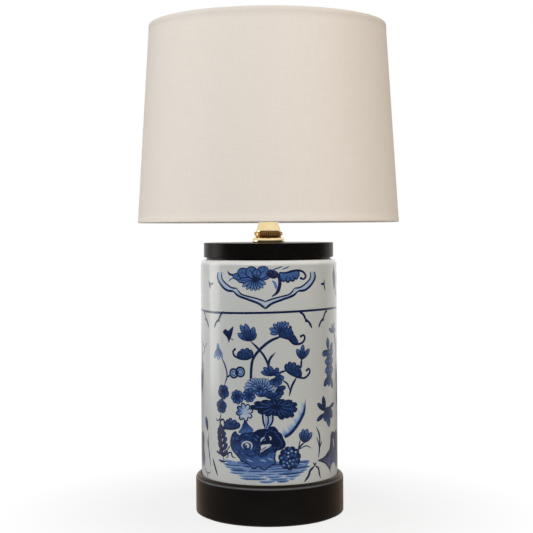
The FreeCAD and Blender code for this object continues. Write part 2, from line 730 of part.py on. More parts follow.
def make_spider():
    """Drilled hub with its welded arms, cut to sit against the top ring."""
    ring = shade_hoop(SLANT - HEM_OFFSET, SHADE_WIRE + GLUE_GAP)
    hub = turned([
        (STUD_RADIUS + SPIDER_HUB_CLEAR, SPIDER_Z),
        (SPIDER_HUB_RADIUS, SPIDER_Z),
        (SPIDER_HUB_RADIUS, FINIAL_Z),
        (STUD_RADIUS + SPIDER_HUB_CLEAR, FINIAL_Z),
    ])
    return hub.fuse(spider_arms(SHADE_WIRE)).cut(ring)


def make_liner(notches):
    """Stiff liner that the linen is laminated to, ending short of both hoops."""
    liner = shade_section([
        (LINER_END, LINER_N),
        (SLANT - LINER_END, LINER_N),
        (SLANT - LINER_END, LINER_INNER_N),
        (LINER_END, LINER_INNER_N),
    ])
    return liner.cut(notches)


def make_fabric(notches):
    """Linen skin, rolled round both hoops and turned down inside the liner."""
    flap_n = LINER_INNER_N + GLUE_GAP
    fold_n = HEM_WIDTH - FABRIC_THICK
    fold_round = SHADE_WIRE
    outer_round = fold_round + FABRIC_THICK
    linen = shade_section([
        (0, 0, outer_round),
        (0, HEM_WIDTH, outer_round),
        (HEM_WIDTH, HEM_WIDTH),
        (HEM_FLAP, flap_n + FABRIC_THICK),
        (HEM_FLAP, flap_n),
        (HEM_WIDTH, fold_n),
        (FABRIC_THICK, fold_n, fold_round),
        (FABRIC_THICK, FABRIC_THICK, fold_round),
        (SLANT - FABRIC_THICK, FABRIC_THICK, fold_round),
        (SLANT - FABRIC_THICK, fold_n, fold_round),
        (SLANT - HEM_WIDTH, fold_n),
        (SLANT - HEM_FLAP, flap_n),
        (SLANT - HEM_FLAP, flap_n + FABRIC_THICK),
        (SLANT - HEM_WIDTH, HEM_WIDTH),
        (SLANT, HEM_WIDTH, outer_round),
        (SLANT, 0, outer_round),
    ])
    return linen.cut(notches)


def stem_slot(inner, outer):
    """U slot towards -Y that lets a shell slide down over the switch stem."""
    radius = STEM_RADIUS + STEM_CLEAR
    hole = cylinder(radius, (0, -inner, SWITCH_Z), (0, -1, 0), outer - inner)
    corner = FreeCAD.Vector(-radius, -outer, SHELL_Z)
    return hole.fuse(Part.makeBox(2 * radius, outer - inner, SWITCH_Z - SHELL_Z, corner))


def make_socket_cap():
    """Bell-shaped cap of the socket, with a threaded hub and its set screw's hole."""
    bore = ROD_RADIUS + THREAD_CLEAR
    hub_top = SOCKET_Z + HUB_HEIGHT
    cap_top = SOCKET_Z + SOCKET_CAP_HEIGHT
    cap = turned([
        (bore, SOCKET_Z),
        (HUB_RADIUS, SOCKET_Z),
        (HUB_RADIUS, hub_top),
        (SOCKET_CAP_RADIUS, hub_top, SOCKET_CAP_ROUND),
        (SOCKET_CAP_RADIUS, cap_top),
        (SOCKET_CAP_INSIDE, cap_top),
        (SOCKET_CAP_INSIDE, SOCKET_FLOOR_Z, SOCKET_CAP_ROUND - SHEET),
        (bore, SOCKET_FLOOR_Z),
    ])
    tapped = SET_SCREW_RADIUS + THREAD_CLEAR
    return cap.cut(cylinder(tapped, (0, 0, SOCKET_Z + HUB_HEIGHT / 2), (0, 1, 0), HUB_RADIUS))


def make_set_screw():
    """Set screw in the socket cap's hub, pressing on the rod."""
    start = ROD_RADIUS + GLUE_GAP
    length = HUB_RADIUS + SET_SCREW_PROUD - start
    return cylinder(SET_SCREW_RADIUS, (0, start, SOCKET_Z + HUB_HEIGHT / 2), (0, 1, 0), length)


def make_fibre_cup():
    """Fibre dish on the floor of the socket cap, under the shell's edge."""
    outside = SOCKET_CAP_INSIDE - FIBRE_FIT
    rim = SHELL_Z - FIBRE_FIT
    corner = SOCKET_CAP_ROUND - SHEET - FIBRE_FIT
    return turned([
        (ROD_HOLE, FIBRE_Z),
        (outside, FIBRE_Z, corner),
        (outside, rim),
        (outside - FIBRE_THICK, rim),
        (outside - FIBRE_THICK, BOSS_Z, corner - FIBRE_THICK),
        (ROD_HOLE, BOSS_Z),
    ])


def make_socket_shell():
    """Brass shell of the socket, slotted for the switch stem."""
    tube = turned([
        (SHELL_INSIDE, SHELL_Z),
        (SHELL_RADIUS, SHELL_Z),
        (SHELL_RADIUS, SHELL_TOP_Z),
        (SHELL_INSIDE, SHELL_TOP_Z),
    ])
    return tube.cut(stem_slot(FIBRE_INSIDE, SHELL_RADIUS + SHEET))


def make_shell_fibre():
    """Fibre sleeve inside the shell, with the same slot."""
    outside = FIBRE_INSIDE + FIBRE_THICK
    tube = turned([
        (FIBRE_INSIDE, SHELL_Z + FIBRE_FIT),
        (outside, SHELL_Z + FIBRE_FIT),
        (outside, SHELL_TOP_Z - SHEET),
        (FIBRE_INSIDE, SHELL_TOP_Z - SHEET),
    ])
    return tube.cut(stem_slot(SCREW_SHELL_OUTSIDE, SHELL_RADIUS))


def terminal_x():
    """Where the terminal heads' flat seats lie, out from the axis."""
    return SCREW_SHELL_OUTSIDE - TERMINAL_HEAD_THICK


def make_socket_body():
    """Moulded block with its boss, wire way, stem hole and terminal pockets."""
    block = turned([
        (0, BOSS_Z),
        (BOSS_RADIUS, BOSS_Z),
        (BOSS_RADIUS, BODY_Z),
        (SCREW_SHELL_OUTSIDE, BODY_Z),
        (SCREW_SHELL_OUTSIDE, BODY_TOP_Z),
        (0, BODY_TOP_Z),
    ])
    cuts = [
        cylinder(WIRE_WAY_RADIUS, (0, 0, BOSS_Z), (0, 0, 1), WIRE_WAY_DEPTH),
        cylinder(
            STEM_RADIUS + RUNNING_CLEAR,
            (0, -SCREW_SHELL_OUTSIDE + STEM_INSIDE + RUNNING_CLEAR, SWITCH_Z),
            (0, -1, 0),
            SCREW_SHELL_OUTSIDE,
        ),
    ]
    for side in (1, -1):
        seat = (side * terminal_x(), 0, SWITCH_Z)
        shank_end = (side * (terminal_x() - TERMINAL_SHANK_LENGTH), 0, SWITCH_Z)
        pocket = TERMINAL_HEAD_RADIUS + TERMINAL_POCKET_CLEAR
        cuts.append(cylinder(pocket, seat, (side, 0, 0), SCREW_SHELL_OUTSIDE))
        tapped = TERMINAL_SHANK_RADIUS + THREAD_CLEAR
        cuts.append(cylinder(tapped, shank_end, (side, 0, 0), TERMINAL_SHANK_LENGTH))
    return block.cut(cuts)


def make_terminals():
    """Two round-headed terminal screws."""
    screws = []
    for side in (1, -1):
        seat = (side * terminal_x(), 0, SWITCH_Z)
        shank_end = (side * (terminal_x() - TERMINAL_SHANK_LENGTH), 0, SWITCH_Z)
        head = cylinder(TERMINAL_HEAD_RADIUS, seat, (side, 0, 0), TERMINAL_HEAD_THICK)
        shank = cylinder(TERMINAL_SHANK_RADIUS, shank_end, (side, 0, 0), TERMINAL_SHANK_LENGTH)
        screws.append(head.fuse(shank))
    return Part.makeCompound(screws)


def make_screw_shell():
    """Cup that takes the bulb's screw base, open in its floor for the contact."""
    top = BODY_TOP_Z + SCREW_SHELL_HEIGHT
    floor = BODY_TOP_Z + SCREW_SHELL_WALL
    return turned([
        (SCREW_SHELL_HOLE, BODY_TOP_Z),
        (SCREW_SHELL_OUTSIDE, BODY_TOP_Z),
        (SCREW_SHELL_OUTSIDE, top),
        (SCREW_SHELL_INSIDE, top),
        (SCREW_SHELL_INSIDE, floor),
        (SCREW_SHELL_HOLE, floor),
    ])


def make_leaf():
    """Folded spring leaf on the socket body, under the bulb's foot contact."""
    top = BODY_TOP_Z + LEAF_RISE
    fold = LEAF_HALF_LENGTH - 2 * LEAF_THICK
    return strip([
        (LEAF_HALF_LENGTH, BODY_TOP_Z),
        (-LEAF_HALF_LENGTH, BODY_TOP_Z),
        (0, top),
        (fold, top),
        (fold, top - LEAF_THICK),
        (LEAF_THICK, top - LEAF_THICK),
        (-fold + LEAF_THICK, BODY_TOP_Z + LEAF_THICK),
        (LEAF_HALF_LENGTH, BODY_TOP_Z + LEAF_THICK),
    ], LEAF_WIDTH)


def towards_front(solid, distance):
    """Turn a piece made along +Z to point towards -Y on the switch's axis."""
    solid.rotate(ORIGIN, FreeCAD.Vector(1, 0, 0), 90)
    solid.translate(FreeCAD.Vector(0, -distance, SWITCH_Z))
    return solid


def knob_start():
    """How far out from the lamp's axis the knob begins."""
    return SHELL_RADIUS + KNOB_GAP


def make_stem():
    """Switch stem from inside the socket body into the knob."""
    start = SCREW_SHELL_OUTSIDE - STEM_INSIDE
    length = knob_start() + KNOB_BORE_DEPTH - start
    return towards_front(Part.makeCylinder(STEM_RADIUS, length), start)


def make_knob():
    """Ribbed switch knob, bored for the stem."""
    ribs = prism(star(KNOB_RIBS, KNOB_RADIUS, KNOB_RADIUS - KNOB_RIB_DEPTH), 0, KNOB_LENGTH)
    envelope = turned([
        (0, KNOB_BORE_DEPTH),
        (STEM_RADIUS + GLUE_GAP, KNOB_BORE_DEPTH),
        (STEM_RADIUS + GLUE_GAP, 0),
        (KNOB_RADIUS, 0),
        (KNOB_RADIUS, KNOB_LENGTH, KNOB_ROUND),
        (0, KNOB_LENGTH),
    ])
    return towards_front(ribs.common(envelope), knob_start())


def make_bulb_contact():
    """Foot contact of the bulb."""
    return turned([
        (0, BULB_Z),
        (BULB_CONTACT_RADIUS, BULB_Z, BULB_CONTACT_ROUND),
        (BULB_CONTACT_RADIUS, INSULATOR_Z),
        (0, INSULATOR_Z),
    ])


def make_insulator():
    """Black insulator between the bulb's contact and its screw base."""
    return turned([
        (0, INSULATOR_Z),
        (BULB_CONTACT_RADIUS, INSULATOR_Z),
        (BULB_CONTACT_RADIUS + INSULATOR_SPREAD, BULB_SCREW_Z),
        (0, BULB_SCREW_Z),
    ])


def make_bulb_screw():
    """Screw base of the bulb, a cup under the housing."""
    inside = BULB_BASE_RADIUS - BULB_SCREW_WALL
    floor = BULB_SCREW_Z + BULB_SCREW_WALL
    return turned([
        (0, BULB_SCREW_Z),
        (BULB_BASE_RADIUS, BULB_SCREW_Z, BULB_SCREW_ROUND),
        (BULB_BASE_RADIUS, HOUSING_Z),
        (inside, HOUSING_Z),
        (inside, floor, BULB_SCREW_ROUND - BULB_SCREW_WALL),
        (0, floor),
    ])


def bulb_seam_latitude():
    """Latitude on the dome, in radians, where the housing's cone meets it without a crease."""
    foot = BULB_BASE_RADIUS + BULB_NECK_STEP
    drop = BULB_CENTRE_Z - HOUSING_Z
    return math.acos(BULB_RADIUS / math.hypot(foot, drop)) - math.atan2(drop, foot)


def make_housing():
    """White cone of the bulb, from its screw base to the dome's seam."""
    seam = bulb_seam_latitude()
    seam_z = BULB_CENTRE_Z + BULB_RADIUS * math.sin(seam)
    return turned([
        (0, HOUSING_Z),
        (BULB_BASE_RADIUS + BULB_NECK_STEP, HOUSING_Z),
        (BULB_RADIUS * math.cos(seam), seam_z),
        (0, seam_z),
    ])


def make_diffuser():
    """Thin frosted dome of the bulb."""
    centre = FreeCAD.Vector(0, 0, BULB_CENTRE_Z)
    dome = Part.makeSphere(BULB_RADIUS, centre, AXIS_Z, math.degrees(bulb_seam_latitude()), 90)
    return dome.cut(Part.makeSphere(BULB_RADIUS - BULB_WALL, centre))


def build_nodes():
    """Every piece of the lamp by name."""
    notches = spider_arms(SHADE_WIRE + NOTCH_CLEAR)
    return {
        "base_felt": make_felt(),
        "base_plinth": make_plinth(),
        "cord_bushing": make_bushing(),
        "rod_nut_bottom": hex_nut(BOTTOM_NUT_Z, BOTTOM_NUT_HEIGHT),
        "rod_washer_bottom": make_washer(),
        "center_rod": make_rod(),
        "vase_body": make_vase(),
        "vase_cap": make_cap(),
        "check_ring": make_check_ring(),
        "knurled_ring": make_knurled_ring(),
        "neck": make_neck(),
        "harp_saddle": make_saddle(),
        "rod_nut_top": hex_nut(SADDLE_TOP_Z, TOP_NUT_HEIGHT),
        "socket_cap": make_socket_cap(),
        "socket_cap_screw": make_set_screw(),
        "socket_cap_liner": make_fibre_cup(),
        "socket_shell": make_socket_shell(),
        "socket_shell_liner": make_shell_fibre(),
        "socket_body": make_socket_body(),
        "socket_screw_shell": make_screw_shell(),
        "socket_contact": make_leaf(),
        "terminal_screws": make_terminals(),
        "switch_stem": make_stem(),
        "switch_knob": make_knob(),
        "harp_loop": make_harp(),
        "harp_sleeve_left": make_sleeve(-1),
        "harp_sleeve_right": make_sleeve(1),
        "harp_stud": make_stud(),
        "shade_spider": make_spider(),
        "shade_ring_top": shade_hoop(SLANT - HEM_OFFSET, SHADE_WIRE),
        "shade_ring_bottom": shade_hoop(HEM_OFFSET, SHADE_WIRE),
        "shade_liner": make_liner(notches),
        "shade_fabric": make_fabric(notches),
        "finial_collar": make_collar(),
        "finial_ball": make_ball(),
        "bulb_contact": make_bulb_contact(),
        "bulb_insulator": make_insulator(),
        "bulb_screw_shell": make_bulb_screw(),
        "bulb_housing": make_housing(),
        "bulb_diffuser": make_diffuser(),
    }


os.makedirs("parts", exist_ok=True)
for name, shape in build_nodes().items():
    shape.exportStep(f"parts/{name}.step")
    print(f"{name:20s} solids {len(shape.Solids)} volume {shape.Volume:10.1f} valid {shape.isValid()}")
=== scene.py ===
"""Looks of a vase table lamp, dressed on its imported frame.

A blue-and-white porcelain cylinder stands on a black turned base under a black turned cap. Brass
fittings above it carry the socket, the harp and a tapered linen drum shade. Lengths are in metres,
but the painting on the vase is laid out in millimetres on the unrolled wall.
"""

import cmath
import logging
import math
from dataclasses import dataclass, field
from enum import Enum
from itertools import accumulate, pairwise
from typing import Any, Callable, Iterable, Iterator, Sequence

import bpy
import numpy as np
from mathutils import Matrix, Vector
from mathutils.geometry import delaunay_2d_cdt


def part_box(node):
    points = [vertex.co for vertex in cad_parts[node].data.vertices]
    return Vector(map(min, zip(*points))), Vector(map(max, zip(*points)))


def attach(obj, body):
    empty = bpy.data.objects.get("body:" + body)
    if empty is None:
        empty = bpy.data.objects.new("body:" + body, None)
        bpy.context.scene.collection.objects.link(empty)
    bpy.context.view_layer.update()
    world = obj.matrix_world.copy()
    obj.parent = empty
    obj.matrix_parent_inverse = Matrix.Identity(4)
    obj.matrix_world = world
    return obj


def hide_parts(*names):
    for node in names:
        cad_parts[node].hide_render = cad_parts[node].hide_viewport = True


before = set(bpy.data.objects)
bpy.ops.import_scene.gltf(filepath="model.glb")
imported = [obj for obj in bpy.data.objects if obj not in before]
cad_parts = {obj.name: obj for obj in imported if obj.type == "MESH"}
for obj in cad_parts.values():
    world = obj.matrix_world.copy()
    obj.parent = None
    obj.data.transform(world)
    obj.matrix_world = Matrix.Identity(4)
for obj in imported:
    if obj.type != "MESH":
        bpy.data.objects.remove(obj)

LOG = logging.getLogger("lamp")
MM = 0.001
WELD = 0.002 * MM
ARC_STEP = math.radians(9)
Colour = tuple[float, float, float]
Object = bpy.types.Object
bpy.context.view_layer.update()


class Signal:
    """A shader socket that takes part in Python expressions. Each operator adds its Math node."""

    def __init__(self, graph: "Graph", socket: bpy.types.NodeSocket) -> None:
        """Wraps one output socket of a graph."""
        self.graph = graph
        self.socket = socket

    def math(self, operation: str, *others: "Signal | float") -> "Signal":
        """One Math node on this signal and others."""
        return self.graph.math(operation, self, *others)

    def __add__(self, other: "Signal | float") -> "Signal":
        """self + other."""
        return self.math("ADD", other)

    def __sub__(self, other: "Signal | float") -> "Signal":
        """self - other."""
        return self.math("SUBTRACT", other)

    def __rsub__(self, other: float) -> "Signal":
        """other - self."""
        return self.graph.math("SUBTRACT", other, self)

    def __mul__(self, other: "Signal | float") -> "Signal":
        """self * other."""
        return self.math("MULTIPLY", other)

    def __pow__(self, other: float) -> "Signal":
        """self ** other."""
        return self.math("POWER", other)

    def __abs__(self) -> "Signal":
        """abs(self)."""
        return self.math("ABSOLUTE")

    __radd__ = __add__
    __rmul__ = __mul__


class Graph:
    """The node tree of one material or world, round its surface node."""

    def __init__(self, owner: bpy.types.ID, surface: str = "Principled BSDF") -> None:
        """Opens the nodes of a material or world.

        Args:
            owner: The new material or world.
            surface: The name of its surface node.
        """
        owner.use_nodes = True
        self.tree = owner.node_tree
        self.surface = self.tree.nodes[surface]

    def feed(self, socket: bpy.types.NodeSocket, value: Any) -> None:
        """Links a signal to an input socket, or sets the socket's own value.

        Args:
            socket: The input.
            value: A signal, a number, a vector or a colour.
        """
        if isinstance(value, Signal):
            self.tree.links.new(value.socket, socket)
        elif socket.type == "RGBA":
            socket.default_value = (*value, 1.0)
        else:
            socket.default_value = value

    def node(
        self,
        kind: str,
        settings: dict[str, Any] | None = None,
        inputs: dict[str | int, Any] | None = None,
        output: str | int = 0,
    ) -> Signal:
        """Adds a node.

        Args:
            kind: The node's type.
            settings: Its own properties, set first; "stops" fills a colour ramp.
            inputs: Values or signals for its sockets, by name or number.
            output: The socket that is returned.

        Returns:
            That output, ready for expressions.
        """
        made = self.tree.nodes.new(kind)
        for key, value in (settings or {}).items():
            if key == "stops":
                self._fill_ramp(made.color_ramp, value)
            else:
                setattr(made, key, value)
        for key, value in (inputs or {}).items():
            self.feed(made.inputs[key], value)
        return Signal(self, made.outputs[output])

    @staticmethod
    def _fill_ramp(ramp: bpy.types.ColorRamp, stops: Sequence[tuple[float, Colour]]) -> None:
        """Gives a colour ramp its stops.

        Args:
            ramp: The ramp of a new node.
            stops: Places and colours, in order.
        """
        while len(ramp.elements) < len(stops):
            ramp.elements.new(1.0)
        for element, (place, colour) in zip(ramp.elements, stops):
            element.position = place
            element.color = (*colour, 1.0)

    def fill(self, **values: Any) -> None:
        """Feeds the surface node.

        Args:
            **values: Its inputs by name, such as base_color for Base Color.
        """
        for key, value in values.items():
            name = key.replace("_", " ").title().replace("Ior", "IOR")
            self.feed(self.surface.inputs[name], value)

    def math(self, operation: str, *terms: Signal | float) -> Signal:
        """One Math node on these terms."""
        return self.node("ShaderNodeMath", {"operation": operation}, dict(enumerate(terms)))

    def place(self, scale: Colour = (1, 1, 1)) -> Signal:
        """Object coordinates in metres, stretched."""
        coords = self.node("ShaderNodeTexCoord", output="Object")
        return self.node("ShaderNodeMapping", None, {"Vector": coords, "Scale": scale})

    def axes(self, vector: Signal, names: str) -> list[Signal]:
        """A vector's parts along the named axes."""
        kind = "ShaderNodeSeparateXYZ"
        return [self.node(kind, None, {0: vector}, output=name) for name in names]

    def length(self, vector: Signal) -> Signal:
        """The length of a vector."""
        settings = {"operation": "LENGTH"}
        return self.node("ShaderNodeVectorMath", settings, {0: vector}, output="Value")

    def rays(self, *kinds: str) -> list[Signal]:
        """Whether a ray is of each of these kinds."""
        return [self.node("ShaderNodeLightPath", output=f"Is {kind} Ray") for kind in kinds]

    def noise(self, scale: float, detail: float = 3.0, stretch: Colour = (1, 1, 1)) -> Signal:
        """Noise from 0 to 1 on object coordinates, with that many lumps a metre."""
        inputs = {"Vector": self.place(stretch), "Scale": scale, "Detail": detail}
        return self.node("ShaderNodeTexNoise", None, inputs)

    def ramp(self, value: Signal, *stops: tuple[float, Colour]) -> Signal:
        """A colour ramp."""
        return self.node("ShaderNodeValToRGB", {"stops": stops}, {0: value})

    def span(self, value: Signal, low: float, high: float) -> Signal:
        """Stretches a signal so that 0 to 1 becomes low to high."""
        return value * (high - low) + low

    def between(
        self,
        value: Signal,
        start: Signal | float,
        stop: Signal | float,
        low: float = 0.0,
        high: float = 1.0,
        **settings: str,
    ) -> Signal:
        """Runs from low to high while a value goes from start to stop, and is level beyond."""
        inputs = dict(enumerate((value, start, stop, low, high)))
        return self.node("ShaderNodeMapRange", settings, inputs)

    def mix(self, start: Any, end: Any, factor: Signal | float, blend: str = "MIX") -> Signal:
        """Blends two colours."""
        settings = {"data_type": "RGBA", "blend_type": blend}
        return self.node("ShaderNodeMix", settings, {0: factor, 6: start, 7: end}, output=2)

    def bump(self, height: Signal, distance: float) -> Signal:
        """A normal that tilts with a height of that many metres."""
        inputs = {"Height": height, "Distance": distance, "Strength": 1.0}
        return self.node("ShaderNodeBump", None, inputs)


@dataclass(frozen=True)
class Finish:
    """A surface finish, wired once and shared by the pieces that have it."""

    name: str

    def material(self) -> bpy.types.Material:
        """Finds the finish's material, or makes it on first use.

        Returns:
            The material that all its pieces share.
        """
        known = bpy.data.materials.get(self.name)
        if known is not None:
            return known
        made = bpy.data.materials.new(self.name)
        self.wire(Graph(made))
        return made

    def wire(self, graph: Graph) -> None:
        """Builds the finish's nodes."""
        raise NotImplementedError


@dataclass(frozen=True)
class BlackLacquer(Finish):
    """Satin black lacquer over turned wood, with the grain just telegraphing through."""

    dark: Colour = (0.0038, 0.0036, 0.0037)
    worn: Colour = (0.0100, 0.0088, 0.0080)
    # painted highlight: a paler colour in a band round the base's shoulder, at one height
    painted_edge_highlight: Colour = (0.110, 0.110, 0.118)
    highlight_height: float = 0.0388
    highlight_reach: float = 0.0013
    sheen: float = 0.55
    grain_depth: float = 0.04 * MM

    def wire(self, graph: Graph) -> None:
        """Long grain across the blank, fine turning lines, uneven gloss and a painted highlight: a
        paler band of colour round the shoulder.

        Args:
            graph: The nodes of the new material.
        """
        grain = graph.noise(60.0, 5.0, (0.25, 3.0, 3.0))
        cloud = graph.noise(18.0, 3.0)
        lines = graph.noise(900.0, 2.0, (0.02, 0.02, 1.0))
        colour = graph.mix(self.dark, self.worn, grain * cloud)
        # painted highlight: the colour turns paler within a short reach of one height on the
        # shoulder
        (level,) = graph.axes(graph.place(), "Z")
        away = abs(level - self.highlight_height)
        highlight_share = graph.between(away, 0.0, self.highlight_reach, 1.0, 0.0)
        graph.fill(
            base_color=graph.mix(colour, self.painted_edge_highlight, highlight_share),
            roughness=graph.span(cloud, 0.22, 0.32),
            normal=graph.bump(grain * 0.7 + lines * 0.3, self.grain_depth),
            specular_ior_level=0.05,
            sheen_weight=self.sheen,
            sheen_roughness=0.36,
            sheen_tint=(0.62, 0.34, 0.17),
        )


@dataclass(frozen=True)
class Porcelain(Finish):
    """Glazed porcelain, painted under the glaze as the wall's own attributes say."""

    glaze: Colour = (0.505, 0.52, 0.51)
    # painted highlight: a paler colour over the shoulder's heights
    painted_shoulder_highlight: Colour = (0.78, 0.79, 0.79)
    rim: tuple[float, float] = (0.2645, 0.2695)
    ripple_depth: float = 0.4 * MM

    def wire(self, graph: Graph) -> None:
        """White body, cobalt by depth of ink, pooled and mottled, below a clear coat, with a
        painted highlight that turns the shoulder paler at the top.

        Args:
            graph: The nodes of the new material.
        """
        ink, violet = (
            graph.node("ShaderNodeAttribute", {"attribute_name": name}, output="Fac")
            for name in ("ink", "violet")
        )
        mottle = graph.noise(420.0, 4.0)
        pool = graph.noise(55.0, 3.0)
        depth = ink * graph.span(mottle, 0.72, 1.28)
        cobalt = graph.ramp(
            depth,
            (0.00, self.glaze),
            (0.20, (0.27, 0.375, 0.54)),
            (0.42, (0.062, 0.135, 0.335)),
            (0.66, (0.019, 0.052, 0.170)),
            (0.92, (0.004, 0.010, 0.044)),
        )
        plum = graph.ramp(
            depth,
            (0.00, self.glaze),
            (0.30, (0.22, 0.225, 0.36)),
            (0.65, (0.050, 0.048, 0.120)),
            (0.92, (0.014, 0.013, 0.042)),
        )
        painted = graph.mix(cobalt, plum, violet)
        # painted highlight: the colour turns paler towards the top of the shoulder
        (height,) = graph.axes(graph.place(), "Z")
        painted = graph.mix(painted, self.painted_shoulder_highlight, graph.between(height, *self.rim))
        tone = graph.ramp(pool, (0.25, (0.955, 0.975, 0.985)), (0.75, (1.0, 0.995, 0.985)))
        ripple = graph.noise(38.0, 2.0)
        graph.fill(
            base_color=graph.mix(painted, tone, 1.0, "MULTIPLY"),
            roughness=graph.span(mottle, 0.30, 0.42),
            normal=graph.bump(ripple, self.ripple_depth),
            specular_ior_level=0.05,
            coat_weight=1.0,
            coat_roughness=0.17,
            coat_ior=1.42,
        )


class Polish(Enum):
    """How far a metal was taken: the least and greatest roughness of its surface."""

    MIRROR = (0.06, 0.16)
    SATIN = (0.22, 0.36)
    PLATED = (0.14, 0.30)


@dataclass(frozen=True)
class Metal(Finish):
    """A bare or plated metal with cloudy tarnish and fine tool marks."""

    bright: Colour
    tarnish: Colour
    polish: Polish = Polish.MIRROR
    mark_depth: float = 0.006 * MM

    def wire(self, graph: Graph) -> None:
        """Tarnish in clouds, tool marks running round the axis, roughness to match.

        Args:
            graph: The nodes of the new material.
        """
        cloud = graph.noise(140.0, 4.0)
        marks = graph.noise(1500.0, 3.0, (0.05, 0.05, 1.0))
        low, high = self.polish.value
        graph.fill(
            base_color=graph.mix(self.bright, self.tarnish, self.age(graph, cloud ** 2.0)),
            metallic=1.0,
            roughness=graph.span(cloud, low, high),
            normal=graph.bump(marks, self.mark_depth),
        )

    def age(self, graph: Graph, clouds: Signal) -> Signal:
        """The share of tarnish: only its clouds."""
        return clouds


@dataclass(frozen=True)
class Knurled(Metal):
    """Metal with cut teeth round the axis, whose grooves are painted dark as shade."""

    crest: float = 0.0
    tooth: float = 0.0

    def age(self, graph: Graph, clouds: Signal) -> Signal:
        """Tarnish clouds on the teeth, and the dark colour in full from a third of the way down
        between them, as painted shade in the grooves.

        Args:
            graph: The nodes of the new material.
            clouds: The tarnish of the flat metal.

        Returns:
            The share of tarnish.
        """
        # painted shade: the colour darkens in the grooves between the teeth
        reach = graph.length(graph.place((1, 1, 0)))
        groove = graph.between(reach, self.crest, self.crest - self.tooth / 3)
        return groove.math("MAXIMUM", clouds)


@dataclass(frozen=True)
class Moulded(Finish):
    """Moulded plastic or pressed fibre with a fine grained skin."""

    light: Colour
    dark: Colour
    gloss: tuple[float, float] = (0.35, 0.5)
    grain: float = 2500.0
    depth: float = 0.00002

    def wire(self, graph: Graph) -> None:
        """Faint clouds of colour and a grained skin.

        Args:
            graph: The nodes of the new material.
        """
        skin = graph.noise(self.grain, 3.0)
        cloud = graph.noise(90.0, 4.0)
        graph.fill(
            base_color=graph.mix(self.light, self.dark, cloud),
            roughness=graph.span(skin, *self.gloss),
            normal=graph.bump(skin, self.depth),
        )


@dataclass(frozen=True)
class Liner(Moulded):
    """The shade's white styrene, with a painted glow in its emission that stands in for daylight
    through linen and liner.
    """

    painted_glow: Colour = (1.0, 0.965, 0.91)
    strength: float = 0.5

    def wire(self, graph: Graph) -> None:
        """Moulded skin, with a painted glow as if lit from the other side."""
        super().wire(graph)
        # painted light: the liner glows on its own, though it is no lamp
        graph.fill(emission_color=self.painted_glow, emission_strength=self.strength)


@dataclass(frozen=True)
class Linen(Finish):
    """Plain-woven linen: warp over weft, uneven yarns with slubs, read from the weave's own map."""

    yarn: Colour = (0.855, 0.795, 0.73)
    # the darker end of the mix: painted shade in the weave's gaps, and the darker slubs
    shadow: Colour = (0.76, 0.70, 0.635)
    warp_pitch: float = 0.00075
    weft_pitch: float = 0.00070
    waver: float = 0.6 * MM
    weave_depth: float = 0.06 * MM

    @staticmethod
    def yarns(along: Signal, pitch: float) -> Signal:
        """Rounded yarn backs across one direction, from 0 in the gaps to 1 on the crowns."""
        return (along * (math.pi / pitch)).math("SINE") ** 2.0

    def wire(self, graph: Graph) -> None:
        """Interlaced yarns as bump, with slubs and clouds in the colour, and painted shade in the
        gaps between the yarns.

        Args:
            graph: The nodes of the new material.
        """
        weave = graph.node("ShaderNodeUVMap", {"uv_map": "Weave"})
        across, up = graph.axes(weave, "XY")
        drift = graph.node("ShaderNodeTexNoise", None, {"Vector": weave, "Scale": 90.0})
        warp = self.yarns(across + drift * self.waver, self.warp_pitch)
        weft = self.yarns(up + drift * self.waver, self.weft_pitch)
        height = (warp * 0.9).math("MAXIMUM", weft)
        runs = []
        for stretch in ((3.0, 60.0, 1.0), (60.0, 3.0, 1.0)):
            inputs = {"Vector": weave, "Scale": stretch}
            placed = graph.node("ShaderNodeMapping", None, inputs)
            runs.append(graph.node("ShaderNodeTexNoise", None, {"Vector": placed, "Scale": 14.0}))
        slub = runs[0] * 0.5 + runs[1] * 0.5
        # painted shade: the weave's gaps are coloured darker than the yarn crowns
        tone = height * 0.45 + graph.span(slub, -0.25, 1.0)
        graph.fill(
            base_color=graph.mix(self.shadow, self.yarn, tone.math("MINIMUM", 1.0)),
            roughness=graph.span(slub, 0.85, 0.95),
            normal=graph.bump(height + slub, self.weave_depth),
            specular_ior_level=0.2,
        )


@dataclass(frozen=True)
class Felt(Finish):
    """Pressed wool felt: tangled fibres and a dull nap."""

    light: Colour = (0.030, 0.032, 0.031)
    dark: Colour = (0.008, 0.009, 0.009)
    nap: float = 0.3 * MM

    def wire(self, graph: Graph) -> None:
        """Two tangles of fibre crossing each other.

        Args:
            graph: The nodes of the new material.
        """
        one = graph.noise(1400.0, 5.0, (1.0, 0.25, 1.0))
        two = graph.noise(1400.0, 5.0, (0.25, 1.0, 1.0))
        tangle = one.math("MAXIMUM", two)
        graph.fill(
            base_color=graph.mix(self.dark, self.light, tangle),
            roughness=graph.span(tangle, 0.9, 1.0),
            normal=graph.bump(tangle, self.nap),
            sheen_weight=0.35,
            specular_ior_level=0.1,
        )


